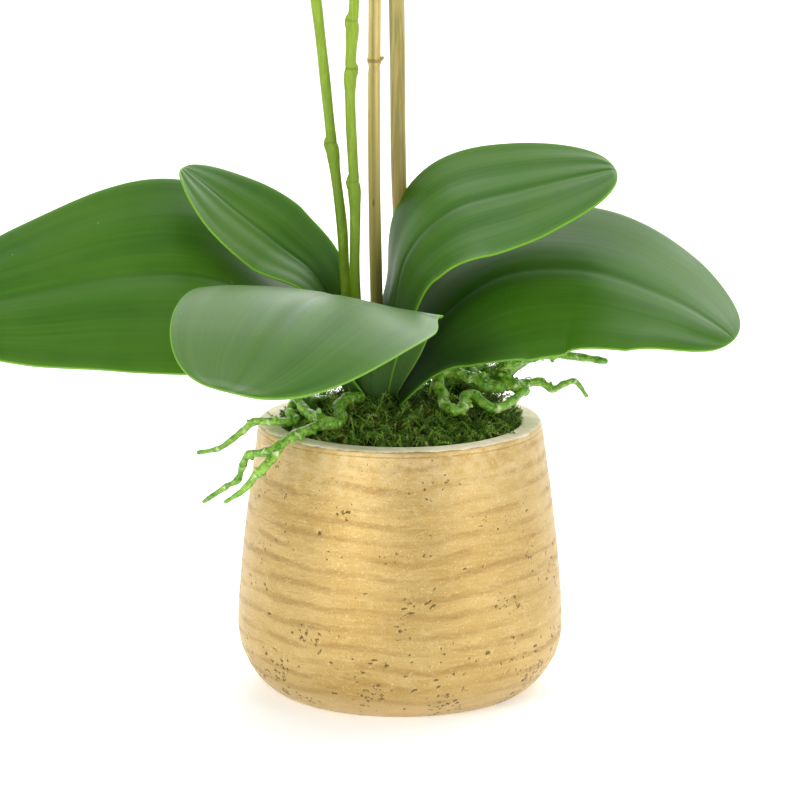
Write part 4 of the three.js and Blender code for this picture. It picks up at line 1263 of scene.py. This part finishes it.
def sprigs(count, own, spread, leaf_size, tones, lean):
    """Feathery moss sprigs: a thin curved stem with two rows of tiny pointed leaves."""
    shape = Shape()
    leaves = 11
    for _ in range(count):
        root = np.array(spread(own))
        bearing, length = own.uniform(0, 2 * np.pi), own.uniform(*SPRIG_LENGTHS)
        rise = own.uniform(0.15, lean)
        out = np.array([math.cos(bearing), math.sin(bearing), 0])
        tip = root + out * length * math.cos(rise) + [0, 0, length * math.sin(rise)]
        bend = [own.uniform(*limits) * length for limits in ((-0.3, 0.3), (-0.3, 0.3), (0.1, 0.45))]
        bend = np.array(bend)
        path = [root, root * 0.66 + tip * 0.34 + bend * 0.8, root * 0.33 + tip * 0.67 + bend,
                tip + [0, 0, -own.uniform(0, 0.35) * length]]
        for p in path:  # nothing goes through the pot's wall
            if p[2] < POT["height"] + 0.8:
                p[:2] *= min(1, (POT["bore"] - 0.7) / max(np.hypot(*p[:2]), 1))
        s = np.linspace(0, 1, leaves)
        centre, tangent, _ = even(path, s)
        tone = own.choice(tones[0], p=tones[1]) + own.uniform(-0.08, 0.08)
        normal = carried(tangent)
        other = np.cross(tangent, normal)
        turn = np.radians([90, 210, 330])
        width = (0.4 - 0.25 * s)[:, None, None]
        rings = centre[:, None] + width * (
            np.cos(turn)[None, :, None] * normal[:, None] + np.sin(turn)[None, :, None] * other[:, None])
        stem_rings = rings[::3]
        k = len(stem_rings)
        i, j = np.arange(k - 1)[:, None] * 3, np.arange(3)[None]
        quads = np.stack([i + j, i + (j + 1) % 3, i + 3 + (j + 1) % 3, i + 3 + j], -1).reshape(-1, 4)
        caps = [[0, 2, 1], [3 * k - 3, 3 * k - 2, 3 * k - 1]]
        # lift rises from each stem's foot to its tip; the moss look paints shade at the foot
        shape.add(stem_rings, quads, caps, tone=np.clip(tone, 0, 1), lift=0.25 + 0.75 * np.repeat(s[::3], 3))
        twist = own.uniform(0, 2 * np.pi)
        side = np.cos(twist) * normal + np.sin(twist) * other
        up = np.cross(tangent, side)
        sizes = leaf_size * (0.5 + 0.5 * np.sin(np.pi * np.clip(s * 0.9 + 0.1, 0, 1)))
        sizes = sizes * own.uniform(0.8, 1.2, leaves)
        for hand in (1, -1):
            splay = own.uniform(0.6, 1.0, leaves)[:, None]
            way = unit(tangent * 0.9 + hand * side * splay + up * own.uniform(-0.15, 0.45, leaves)[:, None])
            across = unit(np.cross(way, up))
            end = centre + way * sizes[:, None]
            waist = centre + way * (sizes * 0.35)[:, None]
            corner = np.stack([waist + across * 0.3, waist - across * 0.3, centre, end + up * 0.1,
                               waist + up * 0.16], 1)
            base = np.arange(leaves)[:, None] * 5
            tris = np.concatenate([base + [2, 1, 4], base + [0, 2, 4], base + [0, 4, 3], base + [4, 1, 3],
                                   base + [2, 0, 3], base + [1, 2, 3]], 0)
            fresh = np.clip(np.repeat(tone + own.uniform(-0.1, 0.14, leaves), 5), 0, 1)
            shape.add(corner, (), tris, tone=fresh, lift=np.repeat(0.35 + 0.65 * s, 5))
    return shape


def anywhere(own):
    while True:
        r, a = (POT["bore"] - 2.5) * math.sqrt(own.uniform(0, 1)), own.uniform(0, 2 * np.pi)
        x, y = r * math.cos(a), r * math.sin(a)
        if math.hypot(x - CROWN["x"], y - CROWN["y"]) > 11:
            return x, y, moss_height(np.array([x]), np.array([y]))[0] - 0.6


def round_roots(own):
    """A spot in the wiry moss that clings to the front roots."""
    right, left = ROOTS["aerial_roots_right_front"], ROOTS["aerial_roots_left_front"]
    prongs = [*right, *right[:2], left[0]]
    k = own.integers(len(prongs))
    share = own.uniform(0.04, 0.42) if k == len(prongs) - 1 else own.uniform(0.05, 0.62)
    spot = even(prongs[k][0], [share])[0][0]
    return spot + own.normal(0, 1, 3) * [2.6, 2.6, 1.2] - [0, -2, 1.5]


# Tones of the moss, from brown over green to straw, and how often each comes.
CUSHION_TONES = ([0.0, 0.15, 0.4, 0.7, 0.95], [0.03, 0.3, 0.3, 0.3, 0.07])
WISP_TONES = ([0.3, 0.6, 0.8], [0.3, 0.4, 0.3])
piece("moss_cushion", moss_cushion(), MOSS_LOOK, "moss", "moss")
fronds = np.random.default_rng(21)
for part, lean in ((1, 0.5), (2, 0.9)):
    tuft = sprigs(1000, fronds, anywhere, 1.3, CUSHION_TONES, lean)
    piece(f"moss_sprigs_{part}", tuft, MOSS_LOOK, "moss", flat=True)
wisps = sprigs(110, fronds, round_roots, 0.8, WISP_TONES, 0.5)
# no painted shade on the wisps
wisps.values["lift"] = [np.ones(wisps.count)]
piece("moss_on_roots", wisps, MOSS_LOOK, "moss", flat=True)

# ---------- the fill stays as CAD made it ----------

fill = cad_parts["potting_fill"]
fill.data.materials.clear()
fill.data.materials.append(bark_look())

# ---------- floor, light and camera, in metres ----------

FLOOR_RADIUS = 5
CAMERA_PLACE, CAMERA_TARGET, CAMERA_LENS = (0, -1.6, 0.486), (0, 0, 0.1306), 163.9

floor_mesh = bpy.data.meshes.new("studio_floor")
floor_mesh.from_pydata(ring(FLOOR_RADIUS, circle(128), 0).tolist(), [], [tuple(range(128))])
floor_look = Look("floor_white", Specular_IOR_Level=0.2, Emission_Color=(1, 1, 1, 1), Emission_Strength=0.3)
paper = floor_look.noise(floor_look.place(), 0.4, detail=3)
floor_mesh.materials.append(floor_look.set(
    Base_Color=floor_look.mix(floor_look.ramp(paper, 0.3, 0.7), "#fbfbfa", "#fefefd"),
    Roughness=floor_look.ramp(paper, 0.3, 0.7, 0.7, 0.8)))
placed("studio_floor", floor_mesh)

# A pale room, brighter behind the object than in front, with two soft windows high up at the back
# and right; what the camera sees of it is white.
world = bpy.data.worlds.new("studio")
bpy.context.scene.world = world
world.use_nodes = True
sky = Nodes(world.node_tree)
toward = sky.node("TexCoord").outputs["Generated"]
way = sky.split(toward)
room = sky.times(sky.ramp(way[1], -0.4, 0.6, 0.26, 0.9), sky.ramp(way[2], 0.35, 0.9, 1.0, 0.3, "LINEAR"))
windows = ((0.12, 0.62, 0.77), 0.8, 0.94, 1.7), ((0.66, 0.4, 0.5), 0.84, 0.95, 1.2)
for middle, low, high, strength in windows:
    facing = {0: toward, 1: Vector(middle).normalized()}
    facing = sky.node("VectorMath", facing, operation="DOT_PRODUCT").outputs["Value"]
    room = sky.math("ADD", room, sky.ramp(facing, low, high, 0.0, strength))
seen = sky.node("LightPath").outputs["Is Camera Ray"]
level = sky.node("Mix", {0: seen, 2: room, 3: 1.0}, data_type="FLOAT").outputs[0]
shine = sky.node("Background", {"Color": (1, 1, 1, 1), "Strength": level})
sky.tree.links.new(shine.outputs[0], sky.node("OutputWorld").inputs[0])


def aimed(thing, place, target):
    thing.location = place
    thing.rotation_euler = (Vector(target) - Vector(place)).to_track_quat("-Z", "Y").to_euler()


def softbox(name, place, target, size, power, mirrored=True):
    lamp = bpy.data.lights.new(name, "AREA")
    lamp.shape, lamp.size, lamp.size_y, lamp.energy = "RECTANGLE", *size, power
    thing = placed(name, lamp)
    thing.visible_glossy = mirrored
    aimed(thing, place, target)


softbox("key_left", (-0.98, -1.5, 0.9), (0, 0, 0.12), (0.42, 1.4), 19)
softbox("fill_right", (1.6, -1.15, 0.7), (0, 0, 0.12), (0.9, 1.4), 10.5)
softbox("top", (0.0, 0.2, 2.2), (0, 0, 0), (2.6, 2.6), 21, mirrored=False)
softbox("back", (0.2, 1.9, 1.0), (0, 0, 0.2), (1.6, 1.0), 9)

camera = placed("camera", bpy.data.cameras.new("camera"))
aimed(camera, CAMERA_PLACE, CAMERA_TARGET)
camera.data.sensor_width, camera.data.lens = 36, CAMERA_LENS
camera.data.clip_start, camera.data.clip_end = 0.05, 30
bpy.context.scene.camera = camera
bpy.context.scene.view_settings.view_transform = "Standard"
